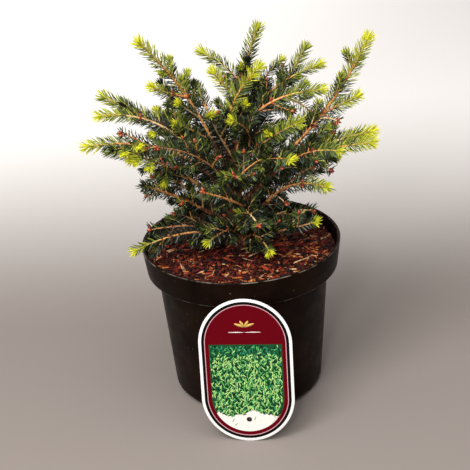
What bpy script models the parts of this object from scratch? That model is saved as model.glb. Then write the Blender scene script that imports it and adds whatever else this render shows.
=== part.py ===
"""Birds nest spruce in a nursery pot, with its mulch and a plant label that leans on the pot.

Metres, +Z up. The origin is the centre of the pot's flat underside. Azimuths run anticlockwise from
+X, seen from above, so 270 degrees is the front.
"""

import math
import random
from collections import namedtuple

import bmesh
import bpy
from mathutils import Matrix, Vector, noise
from mathutils.kdtree import KDTree

MM = 0.001
GAP = 0.3 * MM
WELD = 0.001 * MM
UP = Vector((0.0, 0.0, 1.0))

# Pot
POT_HEIGHT = 137.0 * MM
POT_WALL = 1.6 * MM
POT_BASE = 2.2 * MM
RIM_RADIUS = 85.0 * MM
COLLAR_FOOT_RADIUS = 82.0 * MM
COLLAR_HEIGHT = 24.3 * MM
BODY_TOP_RADIUS = 73.3 * MM
BODY_FOOT_RADIUS = 64.0 * MM
FOOT_ROUND = 8.0 * MM
LIP_ROUND = 0.8 * MM
POT_SEGMENTS = 52
FILL_SEGMENTS = 36
DRAIN_COUNT = 6
DRAIN_WIDTH = 15.0 * MM
DRAIN_HEIGHT = 5.0 * MM
DRAIN_DEPTH = 13.0 * MM
DRAIN_TURN = 33.0

# Growing medium and mulch
MEDIUM_TOP = 119.0 * MM
MULCH_TOP = 127.0 * MM
MULCH_CROWN = 3.0 * MM
MULCH_BUMP = 1.3 * MM
MULCH_GRAIN = 9.0 * MM
MULCH_EYE = 12.0 * MM
MULCH_RINGS = 5

# Plant label, a card with round ends
LABEL_WIDTH = 77.0 * MM
LABEL_LENGTH = 124.0 * MM
LABEL_THICKNESS = 0.8 * MM
LABEL_FOOT_Y = -105.0 * MM
LABEL_CENTRE_X = -4.0 * MM
LABEL_HOLE_RADIUS = 2.3 * MM
LABEL_HOLE_UP = 19.0 * MM
LABEL_ARC_STEPS = 14
LABEL_HOLE_STEPS = 11
LABEL_TURN = math.radians(-8.0)
LABEL_ROLL = math.radians(1.0)
LEAN_ROUNDS = 20

# Trunk
TRUNK_TOP = 224.0 * MM
TRUNK_LEAN = Vector((1.0 * MM, 2.0 * MM, 0.0))
TRUNK_BEND = Vector((-2.5 * MM, 1.5 * MM, 0.0))
TRUNK_FOOT_RADIUS = 7.2 * MM
TRUNK_TOP_RADIUS = 3.6 * MM
ROOT_FLARE = 4.2 * MM
FLARE_HEIGHT = 9.0 * MM
TRUNK_STEPS = 12
TRUNK_STEP_GROWTH = 1.5

# Boughs and shoots
BOUGH_TIP_RADIUS = 1.7 * MM
BOUGH_STEP = 11.0 * MM
SHOOT_RADIUS = 1.3 * MM
SHOOT_TIP_RADIUS = 0.8 * MM
SHOOT_CORNERS = 3
RING_STEP = 6.4 * MM
BARE_STEP = 13.0 * MM
RING_TWIST = math.radians(38.0)
NEEDLE_LENGTH = 9.0 * MM
NEEDLE_LEAN_ROOT = math.radians(58.0)
NEEDLE_LEAN_TIP = math.radians(34.0)
BARE_ROOT = 3.5 * MM
BUD_LENGTH = 4.0 * MM
CAP_NEAR = 0.01 * MM

# Side shoots: where they leave a limb, which way round it, how far they spread and how long they are
SIDE_FIRST = 0.05
SIDE_LAST_SHARE = 0.83
SIDE_SHIFT = 0.2
SIDE_ROLLS = (88.0, -88.0, 8.0, -60.0, 62.0)
SIDE_ROLL_SPAN = 22.0
SIDE_SPREAD = math.radians(46.0)
SPREAD_SPAN = (0.8, 1.15)
SIDE_LENGTH = 25.0 * MM
SIDE_FULL_SHARE = 1.35
LENGTH_SPAN = (0.75, 1.2)
SHORTEST_SIDE = 9.0 * MM
SIDE_LIFT = 0.18
SIDE_ARCH_SPAN = (-0.04, 0.10)
NEEDLE_LEAN_SPAN = 7.0
NEEDLE_LENGTH_SPAN = (0.85, 1.08)
FIRST_SEED = 1000

# Room that each mass of foliage leaves to its neighbours
NEEDLE_TESTS = (0.35, 0.7, 1.0)
SPACE_MARGIN = 1.0 * MM
SHOOT_MARGIN = 0.3 * MM
CORE_CLEAR = 4.4 * MM
LIMB_CLEAR = 1.3 * MM
GROUND_CLEAR = 1.2 * MM
AXIS_SAMPLE = 1.2 * MM

# A limb runs from the trunk to a tip. start is its height on the trunk; azimuth (degrees), reach and
# height place the tip; arch is how far it bows up over its chord and swing how far to its left, all in
# millimetres. bare is the share of it without needles, thick the radius at the trunk of the bough that
# this share is, or 0 where it is only the mass's own stem, and sides the number of side shoots.
Limb = namedtuple("Limb", "name start azimuth reach height arch swing bare thick sides")
LIMBS = (
    Limb("left_leader", 189, 197, 72, 320, 1, -3, 0.36, 3.0, 4),
    Limb("left_pair", 181, 185, 104, 276, 13, 12, 0.40, 2.8, 2),
    Limb("left_far", 163, 207, 126, 251, 20, 3, 0.38, 2.8, 4),
    Limb("left_middle", 169, 222, 82, 246, 12, 4, 0.40, 0.0, 2),
    Limb("left_dark", 142, 219, 95, 216, 7, -9, 0.38, 2.4, 2),
    Limb("left_low", 139, 201, 79, 163, 10, 8, 0.30, 0.0, 2),
    Limb("left_lowest", 131, 206, 95, 150, 16, 8, 0.36, 0.0, 2),
    Limb("top_left", 206, 132, 34, 296, 18, -12, 0.42, 0.0, 2),
    Limb("top", 219, 2, 22, 319, 2, 3, 0.28, 2.6, 2),
    Limb("right_leader", 181, 342, 112, 316, -16, 3, 0.40, 3.0, 4),
    Limb("right_pair", 166, 340, 116, 244, 17, -10, 0.42, 2.8, 2),
    Limb("right_bright", 134, 316, 96, 208, 20, 6, 0.38, 2.4, 2),
    Limb("right_low", 139, 314, 86, 176, -5, 0, 0.36, 0.0, 2),
    Limb("right_upper", 202, 342, 74, 273, 17, 0, 0.36, 0.0, 2),
    Limb("right_front", 197, 309, 78, 261, 5, -4, 0.38, 0.0, 2),
    Limb("front_low", 130, 290, 64, 152, 10, 2, 0.30, 0.0, 1),
    Limb("front_low_left", 134, 246, 64, 163, 9, 3, 0.32, 0.0, 2),
    Limb("front_star", 168, 281, 76, 182, 3, 0, 0.36, 0.0, 2),
    Limb("front_left", 157, 249, 76, 212, 4, 8, 0.38, 0.0, 2),
    Limb("front_bud", 180, 268, 75, 226, 3, 2, 0.36, 0.0, 2),
    Limb("front_right", 191, 299, 86, 237, 6, 2, 0.36, 0.0, 2),
    Limb("front_upper", 207, 250, 52, 268, 5, 0, 0.36, 0.0, 2),
    Limb("front_top", 214, 278, 54, 262, 2, 3, 0.34, 0.0, 2),
    Limb("back_right_tall", 204, 38, 77, 289, 3, 1, 0.34, 2.4, 2),
    Limb("back_right_far", 193, 16, 82, 276, 9, -2, 0.36, 0.0, 2),
    Limb("back_tall", 213, 60, 50, 285, 3, -1, 0.34, 0.0, 2),
    Limb("back_left_tall", 199, 118, 62, 264, 6, 4, 0.36, 2.6, 2),
    Limb("back_left_wide", 171, 153, 104, 240, 12, -5, 0.40, 2.8, 3),
    Limb("back_centre", 188, 84, 88, 241, 9, -2, 0.38, 2.8, 3),
    Limb("back_right_wide", 174, 50, 108, 230, 13, 5, 0.40, 2.8, 3),
    Limb("back_right_side", 157, 12, 114, 214, 15, 6, 0.38, 2.6, 3),
    Limb("back_left_side", 147, 168, 108, 214, 14, -4, 0.38, 2.6, 3),
    Limb("back_left_mid", 160, 122, 108, 219, 13, 3, 0.38, 2.6, 3),
    Limb("back_mid", 149, 86, 100, 200, 13, 3, 0.36, 0.0, 3),
    Limb("back_right_low", 142, 42, 92, 184, 11, 5, 0.34, 0.0, 2),
    Limb("back_left_low", 136, 136, 90, 172, 11, 3, 0.34, 0.0, 2),
    Limb("side_right_low", 134, 350, 62, 163, 8, 4, 0.34, 0.0, 2),
)

# A second or third long shoot of a mass: its limb, the share of the limb that it leaves at, and its
# tip's azimuth, reach and height, and its arch.
Arm = namedtuple("Arm", "limb root azimuth reach height arch")
ARMS = (
    Arm("left_pair", 0.52, 201, 112, 267, 7),
    Arm("left_far", 0.62, 219, 105, 247, 3),
    Arm("right_pair", 0.50, 330, 118, 238, 3),
    Arm("right_pair", 0.47, 319, 105, 239, 5),
    Arm("right_leader", 0.66, 338, 102, 268, -2),
    Arm("left_leader", 0.62, 196, 71, 284, -1),
    Arm("top_left", 0.58, 178, 21, 276, -2),
)

COLOURS = {
    "pot_black": ((0.010, 0.008, 0.007), 0.42),
    "peat": ((0.020, 0.010, 0.007), 0.95),
    "mulch": ((0.085, 0.022, 0.012), 0.85),
    "bark": ((0.300, 0.110, 0.035), 0.75),
    "foliage": ((0.045, 0.105, 0.025), 0.55),
    "card": ((0.700, 0.690, 0.660), 0.35),
}


def clear_scene():
    """Take out whatever the file holds before the model is made."""
    for item in list(bpy.data.objects):
        bpy.data.objects.remove(item, do_unlink=True)


def make_collection(name):
    """A collection of the model, linked to the scene."""
    collection = bpy.data.collections.new(name)
    bpy.context.scene.collection.children.link(collection)
    return collection


def make_material(name):
    """A Principled material of one plain colour."""
    colour, roughness = COLOURS[name]
    material = bpy.data.materials.new(name)
    material.use_nodes = True
    shader = material.node_tree.nodes["Principled BSDF"]
    shader.inputs["Base Color"].default_value = (*colour, 1.0)
    shader.inputs["Roughness"].default_value = roughness
    shader.inputs["Metallic"].default_value = 0.0
    return material


def add_object(name, data, collection, material=None):
    """An object of some mesh or curve in a collection."""
    item = bpy.data.objects.new(name, data)
    collection.objects.link(item)
    if material is not None:
        data.materials.append(material)
    return item


def baked_mesh(item):
    """The mesh of an object with its modifiers or its bevel worked out, and its doubles merged."""
    bpy.context.view_layer.update()
    evaluated = item.evaluated_get(bpy.context.evaluated_depsgraph_get())
    mesh = bpy.data.meshes.new_from_object(evaluated)
    shape = bmesh.new()
    shape.from_mesh(mesh)
    bmesh.ops.remove_doubles(shape, verts=shape.verts, dist=WELD)
    shape.to_mesh(mesh)
    shape.free()
    return mesh


def keep_main_body(mesh):
    """Drop a mesh's loose scraps and the walls of its sealed hollows, and keep its main body."""
    shape = bmesh.new()
    shape.from_mesh(mesh)
    unseen = set(shape.faces)
    bodies = []
    while unseen:
        body = set()
        front = [unseen.pop()]
        while front:
            face = front.pop()
            body.add(face)
            linked = {other for edge in face.edges for other in edge.link_faces} & unseen
            unseen -= linked
            front.extend(linked)
        bodies.append(body)
    main_body = max(bodies, key=len)
    loose = [face for face in shape.faces if face not in main_body]
    bmesh.ops.delete(shape, geom=loose, context="FACES")
    shape.to_mesh(mesh)
    shape.free()


def polar(azimuth, reach, height):
    """A place from its azimuth in degrees and its reach and height in millimetres."""
    angle = math.radians(azimuth)
    return Vector((reach * math.cos(angle), reach * math.sin(angle), height)) * MM


def arc(centre_r, centre_z, radius, start, end, steps):
    """Points of a round in a turned profile, from one angle to another in degrees."""
    points = []
    for step in range(steps + 1):
        angle = math.radians(start + (end - start) * step / steps)
        points.append((centre_r + radius * math.cos(angle), centre_z + radius * math.sin(angle)))
    return points


def turned(name, profile, segments, closed, collection, material):
    """A profile of radius and height pairs turned round the Z axis with a Screw modifier."""
    edges = [(index, index + 1) for index in range(len(profile) - 1)]
    if closed:
        edges.append((len(profile) - 1, 0))
    mesh = bpy.data.meshes.new(name)
    mesh.from_pydata([(radius, 0.0, height) for radius, height in profile], edges, [])
    item = add_object(name, mesh, collection, material)
    screw = item.modifiers.new("turn", "SCREW")
    screw.steps = screw.render_steps = segments
    screw.use_merge_vertices = True
    screw.merge_threshold = 0.01 * MM
    return item


def wall_radius(height):
    """The radius of the body's outer wall at a height."""
    share = height / (POT_HEIGHT - COLLAR_HEIGHT)
    return BODY_FOOT_RADIUS + (BODY_TOP_RADIUS - BODY_FOOT_RADIUS) * share


def pot_profile():
    """The pot's section: inner side from the middle of the floor up, then the outer side down."""
    shoulder = POT_HEIGHT - COLLAR_HEIGHT
    inner_round = FOOT_ROUND - POT_WALL
    inner_centre = wall_radius(FOOT_ROUND) - FOOT_ROUND
    inside = [(0.0, POT_BASE)]
    inside += arc(inner_centre, POT_BASE + inner_round, inner_round, -90, 0, 2)
    inside += [
        (BODY_TOP_RADIUS - POT_WALL, shoulder + POT_WALL),
        (COLLAR_FOOT_RADIUS - POT_WALL, shoulder + POT_WALL),
    ]
    lip = arc(RIM_RADIUS - LIP_ROUND, POT_HEIGHT - LIP_ROUND, LIP_ROUND, 180, 0, 3)
    outside = arc(COLLAR_FOOT_RADIUS - LIP_ROUND, shoulder + LIP_ROUND, LIP_ROUND, 0, -90, 1)
    outside += [(BODY_TOP_RADIUS, shoulder)]
    outside += arc(wall_radius(FOOT_ROUND) - FOOT_ROUND, FOOT_ROUND, FOOT_ROUND, 0, -90, 3)
    return inside + lip + outside + [(0.0, 0.0)]


def build_pot(parts, cutters, material):
    """The moulded pot, with its drain slots cut through the foot's edge."""
    pot = turned("pot", pot_profile(), POT_SEGMENTS, False, parts, material)
    for index in range(DRAIN_COUNT):
        angle = math.radians(360.0 * index / DRAIN_COUNT + DRAIN_TURN)
        bpy.ops.mesh.primitive_cube_add(size=1.0)
        slot = bpy.context.active_object
        slot.name = f"drain_cutter_{index}"
        for owner in list(slot.users_collection):
            owner.objects.unlink(slot)
        cutters.objects.link(slot)
        slot.hide_render = True
        slot.display_type = "WIRE"
        slot.scale = (2.0 * DRAIN_DEPTH, DRAIN_WIDTH, 2.0 * DRAIN_HEIGHT)
        slot.location = (BODY_FOOT_RADIUS * math.cos(angle), BODY_FOOT_RADIUS * math.sin(angle), 0.0)
        slot.rotation_euler = (0.0, 0.0, angle)
        cut = pot.modifiers.new(f"drain_{index}", "BOOLEAN")
        cut.operation = "DIFFERENCE"
        cut.object = slot
    return pot


def build_medium(parts, material):
    """The growing medium, which fills the pot to just above the shoulder."""
    shoulder = POT_HEIGHT - COLLAR_HEIGHT + POT_WALL + GAP
    inner_round = FOOT_ROUND - POT_WALL - GAP
    centre = wall_radius(FOOT_ROUND) - FOOT_ROUND
    collar_radius = COLLAR_FOOT_RADIUS - POT_WALL - GAP
    profile = [
        (0.0, MEDIUM_TOP),
        (collar_radius, MEDIUM_TOP),
        (collar_radius, shoulder),
        (BODY_TOP_RADIUS - POT_WALL - GAP, shoulder),
    ]
    profile += arc(centre, POT_BASE + GAP + inner_round, inner_round, 0, -90, 2)
    profile.append((0.0, POT_BASE + GAP))
    return turned("growing_medium", profile, FILL_SEGMENTS, False, parts, material)


def mulch_height(radius):
    """The height of the mulch, which is a little higher near the stem than at the rim."""
    share = radius / COLLAR_FOOT_RADIUS
    return MULCH_TOP + MULCH_CROWN * (1.0 - share * share)


def build_mulch(parts, material):
    """The layer of bark mulch on the growing medium, with an eye round the stem and an uneven top."""
    outer = COLLAR_FOOT_RADIUS - POT_WALL - GAP
    low = MEDIUM_TOP + GAP
    profile = [(MULCH_EYE, low)]
    for ring in range(MULCH_RINGS + 1):
        radius = MULCH_EYE + (outer - MULCH_EYE) * ring / MULCH_RINGS
        profile.append((radius, mulch_height(radius)))
    profile.append((outer, low))
    item = turned("bark_mulch", profile, FILL_SEGMENTS, True, parts, None)
    mesh = baked_mesh(item)
    item.modifiers.clear()
    item.data = mesh
    mesh.materials.append(material)
    for vertex in mesh.vertices:
        if vertex.co.z > (MULCH_TOP + low) / 2.0:
            vertex.co.z += MULCH_BUMP * noise.noise(vertex.co / MULCH_GRAIN)
    return item


def build_label(parts, material):
    """The plant label: it stands on its lower end in front of the pot and leans on the collar."""
    half = LABEL_WIDTH / 2.0
    straight = LABEL_LENGTH / 2.0 - half
    outline = arc(0.0, straight, half, 0, 180, LABEL_ARC_STEPS)
    outline += arc(0.0, -straight, half, 180, 360, LABEL_ARC_STEPS)
    hole_centre = LABEL_HOLE_UP - LABEL_LENGTH / 2.0
    hole = arc(0.0, hole_centre, LABEL_HOLE_RADIUS, 0, 330, LABEL_HOLE_STEPS)
    curve = bpy.data.curves.new("plant_label", "CURVE")
    curve.dimensions = "2D"
    curve.fill_mode = "BOTH"
    curve.extrude = LABEL_THICKNESS / 2.0
    for points in (outline, hole):
        spline = curve.splines.new("POLY")
        spline.points.add(len(points) - 1)
        for point, (across, along) in zip(spline.points, points):
            point.co = (across, along, 0.0, 1.0)
        spline.use_cyclic_u = True
    item = add_object("plant_label", curve, parts, material)
    lean = label_lean()
    middle = LABEL_LENGTH / 2.0
    back = Vector((0.0, middle * math.sin(lean) + LABEL_THICKNESS / 2.0, 0.0))
    height = middle * math.cos(lean) + LABEL_THICKNESS / 2.0 * math.sin(lean)
    foot = Vector((LABEL_CENTRE_X, LABEL_FOOT_Y, height))
    turn = Matrix.Rotation(LABEL_TURN, 4, "Z")
    leant = Matrix.Rotation(math.pi / 2.0 - lean, 4, "X") @ Matrix.Rotation(LABEL_ROLL, 4, "Z")
    item.matrix_world = Matrix.Translation(foot + turn @ back) @ turn @ leant
    return item


def label_lean():
    """The label's lean from upright, at which its back is a gap clear of the collar."""
    shoulder = POT_HEIGHT - COLLAR_HEIGHT
    foot = LABEL_CENTRE_X * math.sin(LABEL_TURN) - LABEL_FOOT_Y * math.cos(LABEL_TURN)
    lean = 0.0
    for _ in range(LEAN_ROUNDS):
        top = LABEL_LENGTH * math.cos(lean)
        collar = COLLAR_FOOT_RADIUS + (RIM_RADIUS - COLLAR_FOOT_RADIUS) * (top - shoulder) / COLLAR_HEIGHT
        room = foot - LABEL_THICKNESS - GAP - collar
        lean = math.asin(room / LABEL_LENGTH)
    return lean


def trunk_point(height):
    """The trunk's axis at a height: it leans and bends a little."""
    share = (height - MEDIUM_TOP) / (TRUNK_TOP - MEDIUM_TOP)
    return TRUNK_LEAN * share + TRUNK_BEND * math.sin(math.pi * share) + UP * height


def trunk_radius(height):
    """The trunk's radius at a height, with the flare over its roots."""
    share = (height - MEDIUM_TOP) / (TRUNK_TOP - MEDIUM_TOP)
    taper = TRUNK_FOOT_RADIUS + (TRUNK_TOP_RADIUS - TRUNK_FOOT_RADIUS) * share
    return taper + ROOT_FLARE * math.exp(-(height - MEDIUM_TOP) / FLARE_HEIGHT)


def core_section():
    """The outline of a shoot's core, a ring of few corners and unit radius, for the tubes to follow."""
    outline = bpy.data.curves.new("core_section", "CURVE")
    outline.dimensions = "2D"
    spline = outline.splines.new("POLY")
    spline.points.add(SHOOT_CORNERS - 1)
    for index, point in enumerate(spline.points):
        angle = 2.0 * math.pi * index / SHOOT_CORNERS
        point.co = (math.cos(angle), math.sin(angle), 0.0, 1.0)
    spline.use_cyclic_u = True
    return outline


def tube(name, points, radii, collection, level=0, section=None, twist=0.0):
    """A mesh tube along some points, of a radius at each, with flat ends.

    It is round, of a bevel level, or follows a section object.
    """
    curve = bpy.data.curves.new(name, "CURVE")
    curve.dimensions = "3D"
    curve.use_fill_caps = True
    if section is None:
        curve.bevel_depth = 1.0
        curve.bevel_resolution = level
    else:
        curve.bevel_mode = "OBJECT"
        curve.bevel_object = section
    spline = curve.splines.new("POLY")
    spline.points.add(len(points) - 1)
    for index, (point, radius) in enumerate(zip(points, radii)):
        spline.points[index].co = (*point, 1.0)
        spline.points[index].radius = radius
        spline.points[index].tilt = twist * index
    source = add_object(name + "_curve", curve, collection)
    mesh = baked_mesh(source)
    item = add_object(name, mesh, collection)
    item.matrix_world = source.matrix_world
    bpy.data.objects.remove(source)
    return item


def build_trunk(parts, cutters, material):
    """The trunk, cut flat at the ground, and a cutter that is one gap larger all round."""
    foot = MEDIUM_TOP + GAP
    shares = [(step / TRUNK_STEPS) ** TRUNK_STEP_GROWTH for step in range(TRUNK_STEPS + 1)]
    heights = [foot + (TRUNK_TOP - foot) * share for share in shares]
    points = [trunk_point(height) for height in heights]
    points[1].xy = points[0].xy
    radii = [trunk_radius(height) for height in heights]
    trunk = tube("trunk", points, radii, parts, 2)
    trunk.data.materials.append(material)
    wide_points = [points[0] - UP * GAP] + points[1:-1] + [points[-1] + UP * GAP]
    wide = tube("trunk_cutter", wide_points, [radius + GAP for radius in radii], cutters, 2)
    wide.hide_render = True
    wide.display_type = "WIRE"
    return wide


class Path:
    """A smooth run from one place to another that bows over its chord."""

    def __init__(self, start, end, arch=0.0, swing=0.0):
        chord = end - start
        level = UP.cross(chord)
        side = level.normalized() if level.length > WELD else Vector((1.0, 0.0, 0.0))
        over = chord.normalized().cross(side)
        self.start = start
        self.end = end
        self.middle = (start + end) / 2.0 + 2.0 * (over * arch + side * swing)

    def at(self, share):
        """The place at a share of the run."""
        rest = 1.0 - share
        return self.start * rest * rest + self.middle * 2.0 * rest * share + self.end * share * share

    def along(self, share):
        """The direction of the run at a share of it."""
        rest = 1.0 - share
        return ((self.middle - self.start) * rest + (self.end - self.middle) * share).normalized()

    def length(self, first=0.0, last=1.0):
        """The length of the run between two shares of it."""
        places = [self.at(first + (last - first) * index / 12) for index in range(13)]
        return sum((b - a).length for a, b in zip(places, places[1:]))

    def points(self, step, first=0.0, last=1.0):
        """Places about one step apart between two shares of the run."""
        count = max(1, round(self.length(first, last) / step))
        return [self.at(first + (last - first) * index / count) for index in range(count + 1)]


class Shoot:
    """One shoot of a mass: its path, and the shares of it at which its core and its needles start."""

    def __init__(self, path, first, bare):
        self.path = path
        self.first = first
        self.bare = bare
        self.samples = path.points(AXIS_SAMPLE, first)

    def foot(self):
        """Places of the core's rings up to where needles start, wide apart."""
        return self.path.points(BARE_STEP, self.first, self.bare)[:-1] if self.bare > self.first else []

    def rings(self):
        """Places of the core's rings from where needles start, close together."""
        return self.path.points(RING_STEP, self.bare)


class Neighbours:
    """A search tree of places, with the radius round each that is taken."""

    def __init__(self, places):
        self.radii = [radius for _, radius in places]
        self.tree = KDTree(len(places))
        for index, (place, _) in enumerate(places):
            self.tree.insert(place, index)
        self.tree.balance()

    def distance(self, point):
        """The distance from a point to the nearest place's surface."""
        _, index, distance = self.tree.find(point)
        return distance - self.radii[index]


class Crown:
    """The limbs' paths, the shoots of each mass, and the room that each mass has."""

    def __init__(self):
        self.paths = {limb.name: limb_path(limb) for limb in LIMBS}
        wood = trunk_places()
        for limb in LIMBS:
            if limb.thick:
                wood += bough_places(limb, self.paths[limb.name])
        self.wood = Neighbours(wood)
        self.shoots = {limb.name: [self.leader(limb)] for limb in LIMBS}
        for arm in ARMS:
            self.shoots[arm.limb].append(self.arm(arm))
        for number, limb in enumerate(LIMBS):
            others = self.others(limb)
            for shoot in side_shoots(limb, self.paths[limb.name], random.Random(FIRST_SEED + number)):
                if self.has_room(shoot, others):
                    self.shoots[limb.name].append(shoot)

    def leader(self, limb):
        """The first shoot of a mass, which carries on from its bough or leaves the trunk."""
        return Shoot(self.paths[limb.name], limb.bare if limb.thick else 0.0, limb.bare)

    def arm(self, arm):
        """Another long shoot of a mass."""
        root = self.paths[arm.limb].at(arm.root)
        path = Path(root, polar(arm.azimuth, arm.reach, arm.height), arm.arch * MM)
        return Shoot(path, 0.0, BARE_ROOT / path.length())

    def others(self, limb):
        """The axes of all shoots that are not in a limb's mass."""
        return Neighbours([
            (place, 0.0)
            for name, shoots in self.shoots.items() if name != limb.name
            for shoot in shoots
            for place in shoot.samples
        ])

    def siblings(self, limb, shoot):
        """The axes of the other shoots in a shoot's own mass, if it has any."""
        places = [(place, 0.0) for other in self.shoots[limb.name] if other is not shoot
                  for place in other.samples]
        return Neighbours(places) if places else None

    def has_room(self, shoot, others):
        """Whether a side shoot keeps clear of the other masses, the wood and the ground."""
        return all(
            others.distance(place) > CORE_CLEAR
            and self.wood.distance(place) > LIMB_CLEAR + SHOOT_RADIUS
            and above_ground(place, GROUND_CLEAR + SHOOT_RADIUS)
            for place in shoot.samples[2:]
        )

    def needle_fits(self, corners, root, tip, own, siblings, others):
        """Whether a needle keeps to its shoot's space, clear of the wood and of the ground."""
        places = corners + [root.lerp(tip, share) for share in NEEDLE_TESTS]
        return all(
            own.distance(place) + SPACE_MARGIN < others.distance(place)
            and (siblings is None or own.distance(place) + SHOOT_MARGIN < siblings.distance(place))
            and self.wood.distance(place) > LIMB_CLEAR
            and above_ground(place, GROUND_CLEAR)
            for place in places
        )


def limb_path(limb):
    """The whole run of a limb from the trunk's axis to its tip."""
    start = trunk_point(limb.start * MM)
    return Path(start, polar(limb.azimuth, limb.reach, limb.height), limb.arch * MM, limb.swing * MM)


def trunk_places():
    """Places on the trunk's axis, with its radius at each."""
    steps = round((TRUNK_TOP - MEDIUM_TOP) / AXIS_SAMPLE)
    heights = [MEDIUM_TOP + (TRUNK_TOP - MEDIUM_TOP) * step / steps for step in range(steps + 1)]
    return [(trunk_point(height), trunk_radius(height)) for height in heights]


def bough_places(limb, path, step=AXIS_SAMPLE):
    """Places on a bough's axis, with its radius at each; it ends a gap short of its mass."""
    last = limb.bare - GAP / path.length()
    points = path.points(step, 0.0, last)
    thick = limb.thick * MM
    count = len(points) - 1
    return [(point, thick + (BOUGH_TIP_RADIUS - thick) * i / count) for i, point in enumerate(points)]


def build_bough(limb, path, parts, cutter, material):
    """A limb's bough, its foot cut one gap clear of the trunk."""
    points, radii = zip(*bough_places(limb, path, BOUGH_STEP))
    bough = tube("bough_" + limb.name, points, radii, parts, 1)
    bough.data.materials.append(material)
    cut = bough.modifiers.new("foot", "BOOLEAN")
    cut.operation = "DIFFERENCE"
    cut.object = cutter


def above_ground(point, room):
    """Whether a point is some room above the mulch, or above the rim where it is out there."""
    radius = point.xy.length
    ground = mulch_height(radius) + MULCH_BUMP if radius < BODY_TOP_RADIUS else POT_HEIGHT
    return point.z > ground + room


def side_shoots(limb, path, rng):
    """The seeded rule: shoots leave a limb by turns left, right and on top, shorter towards its tip."""
    for index in range(limb.sides):
        step = (index + rng.uniform(-SIDE_SHIFT, SIDE_SHIFT)) / limb.sides
        share = limb.bare + SIDE_FIRST + (SIDE_LAST_SHARE - limb.bare) * step
        along = path.along(share)
        side = UP.cross(along).normalized()
        over = along.cross(side)
        roll = math.radians(SIDE_ROLLS[index % len(SIDE_ROLLS)] + rng.uniform(-SIDE_ROLL_SPAN, SIDE_ROLL_SPAN))
        spread = SIDE_SPREAD * rng.uniform(*SPREAD_SPAN)
        outward = over * math.cos(roll) + side * math.sin(roll)
        heading = (along * math.cos(spread) + outward * math.sin(spread) + UP * SIDE_LIFT).normalized()
        length = SIDE_LENGTH * (SIDE_FULL_SHARE - share) * rng.uniform(*LENGTH_SPAN)
        start = path.at(share)
        run = Path(start, start + heading * length, rng.uniform(*SIDE_ARCH_SPAN) * length)
        if length > SHORTEST_SIDE:
            yield Shoot(run, 0.0, BARE_ROOT / length)


def needled_shoot(name, shoot, collection, section, rng, crown, limb, others):
    """A slim core along a shoot's path, whose sides are drawn out into needles where they fit."""
    own = Neighbours([(place, 0.0) for place in shoot.samples])
    siblings = crown.siblings(limb, shoot)
    foot = shoot.foot()
    points = foot + shoot.rings()
    last = len(points) - 1
    radii = [SHOOT_RADIUS + (SHOOT_TIP_RADIUS - SHOOT_RADIUS) * index / last for index in range(last + 1)]
    item = tube(name, points, radii, collection, section=section, twist=RING_TWIST)
    shape = bmesh.new()
    shape.from_mesh(item.data)
    middles = [(a + b) / 2.0 for a, b in zip(points, points[1:])]
    for face in list(shape.faces):
        centre = face.calc_center_median()
        if (centre - points[-1]).length < CAP_NEAR:
            bud = bmesh.ops.poke(shape, faces=[face])["verts"][0]
            bud.co = centre + shoot.path.along(1.0) * BUD_LENGTH
            continue
        ring = min(range(last), key=lambda index: (middles[index] - centre).length_squared)
        if (centre - points[0]).length < CAP_NEAR or ring < len(foot):
            continue
        along = (points[ring + 1] - points[ring]).normalized()
        outward = (centre - middles[ring]).normalized()
        lean = NEEDLE_LEAN_ROOT + (NEEDLE_LEAN_TIP - NEEDLE_LEAN_ROOT) * ((ring + 0.5) / last) ** 2
        lean += math.radians(rng.uniform(-NEEDLE_LEAN_SPAN, NEEDLE_LEAN_SPAN))
        reach = NEEDLE_LENGTH * rng.uniform(*NEEDLE_LENGTH_SPAN)
        tip = centre + (outward * math.sin(lean) + along * math.cos(lean)) * reach
        corners = [vertex.co.copy() for vertex in face.verts]
        if crown.needle_fits(corners, centre, tip, own, siblings, others):
            bmesh.ops.poke(shape, faces=[face])["verts"][0].co = tip
    bmesh.ops.recalc_face_normals(shape, faces=shape.faces)
    bmesh.ops.triangulate(shape, faces=shape.faces)
    shape.to_mesh(item.data)
    shape.free()
    return item


def build_mass(limb, crown, parts, section, cutter, material):
    """One mass of foliage: its needled shoots joined into one solid."""
    others = crown.others(limb)
    rng = random.Random(limb.name)
    name = "foliage_" + limb.name
    twigs = make_collection(name + "_shoots")
    leader, *rest = crown.shoots[limb.name]
    mass = needled_shoot(name, leader, parts, section, rng, crown, limb, others)
    for index, shoot in enumerate(rest):
        needled_shoot(f"{name}_shoot_{index}", shoot, twigs, section, rng, crown, limb, others)
    if rest:
        union = mass.modifiers.new("shoots", "BOOLEAN")
        union.operation = "UNION"
        union.operand_type = "COLLECTION"
        union.collection = twigs
    if not limb.thick:
        cut = mass.modifiers.new("foot", "BOOLEAN")
        cut.operation = "DIFFERENCE"
        cut.object = cutter
    mesh = baked_mesh(mass)
    keep_main_body(mesh)
    mass.modifiers.clear()
    mass.data = mesh
    for twig in list(twigs.objects):
        bpy.data.objects.remove(twig)
    bpy.data.collections.remove(twigs)
    mesh.materials.clear()
    mesh.materials.append(material)


def main():
    """Build the pot, its filling, the label and the plant."""
    clear_scene()
    parts = make_collection("birds_nest_spruce")
    cutters = make_collection("cutters")
    materials = {name: make_material(name) for name in COLOURS}
    build_pot(parts, cutters, materials["pot_black"])
    build_medium(parts, materials["peat"])
    build_mulch(parts, materials["mulch"])
    build_label(parts, materials["card"])
    cutter = build_trunk(parts, cutters, materials["bark"])
    crown = Crown()
    section = add_object("core_section", core_section(), cutters)
    section.hide_render = True
    for limb in LIMBS:
        if limb.thick:
            build_bough(limb, crown.paths[limb.name], parts, cutter, materials["bark"])
        build_mass(limb, crown, parts, section, cutter, materials["foliage"])
    bpy.data.objects.remove(section)


main()
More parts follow.
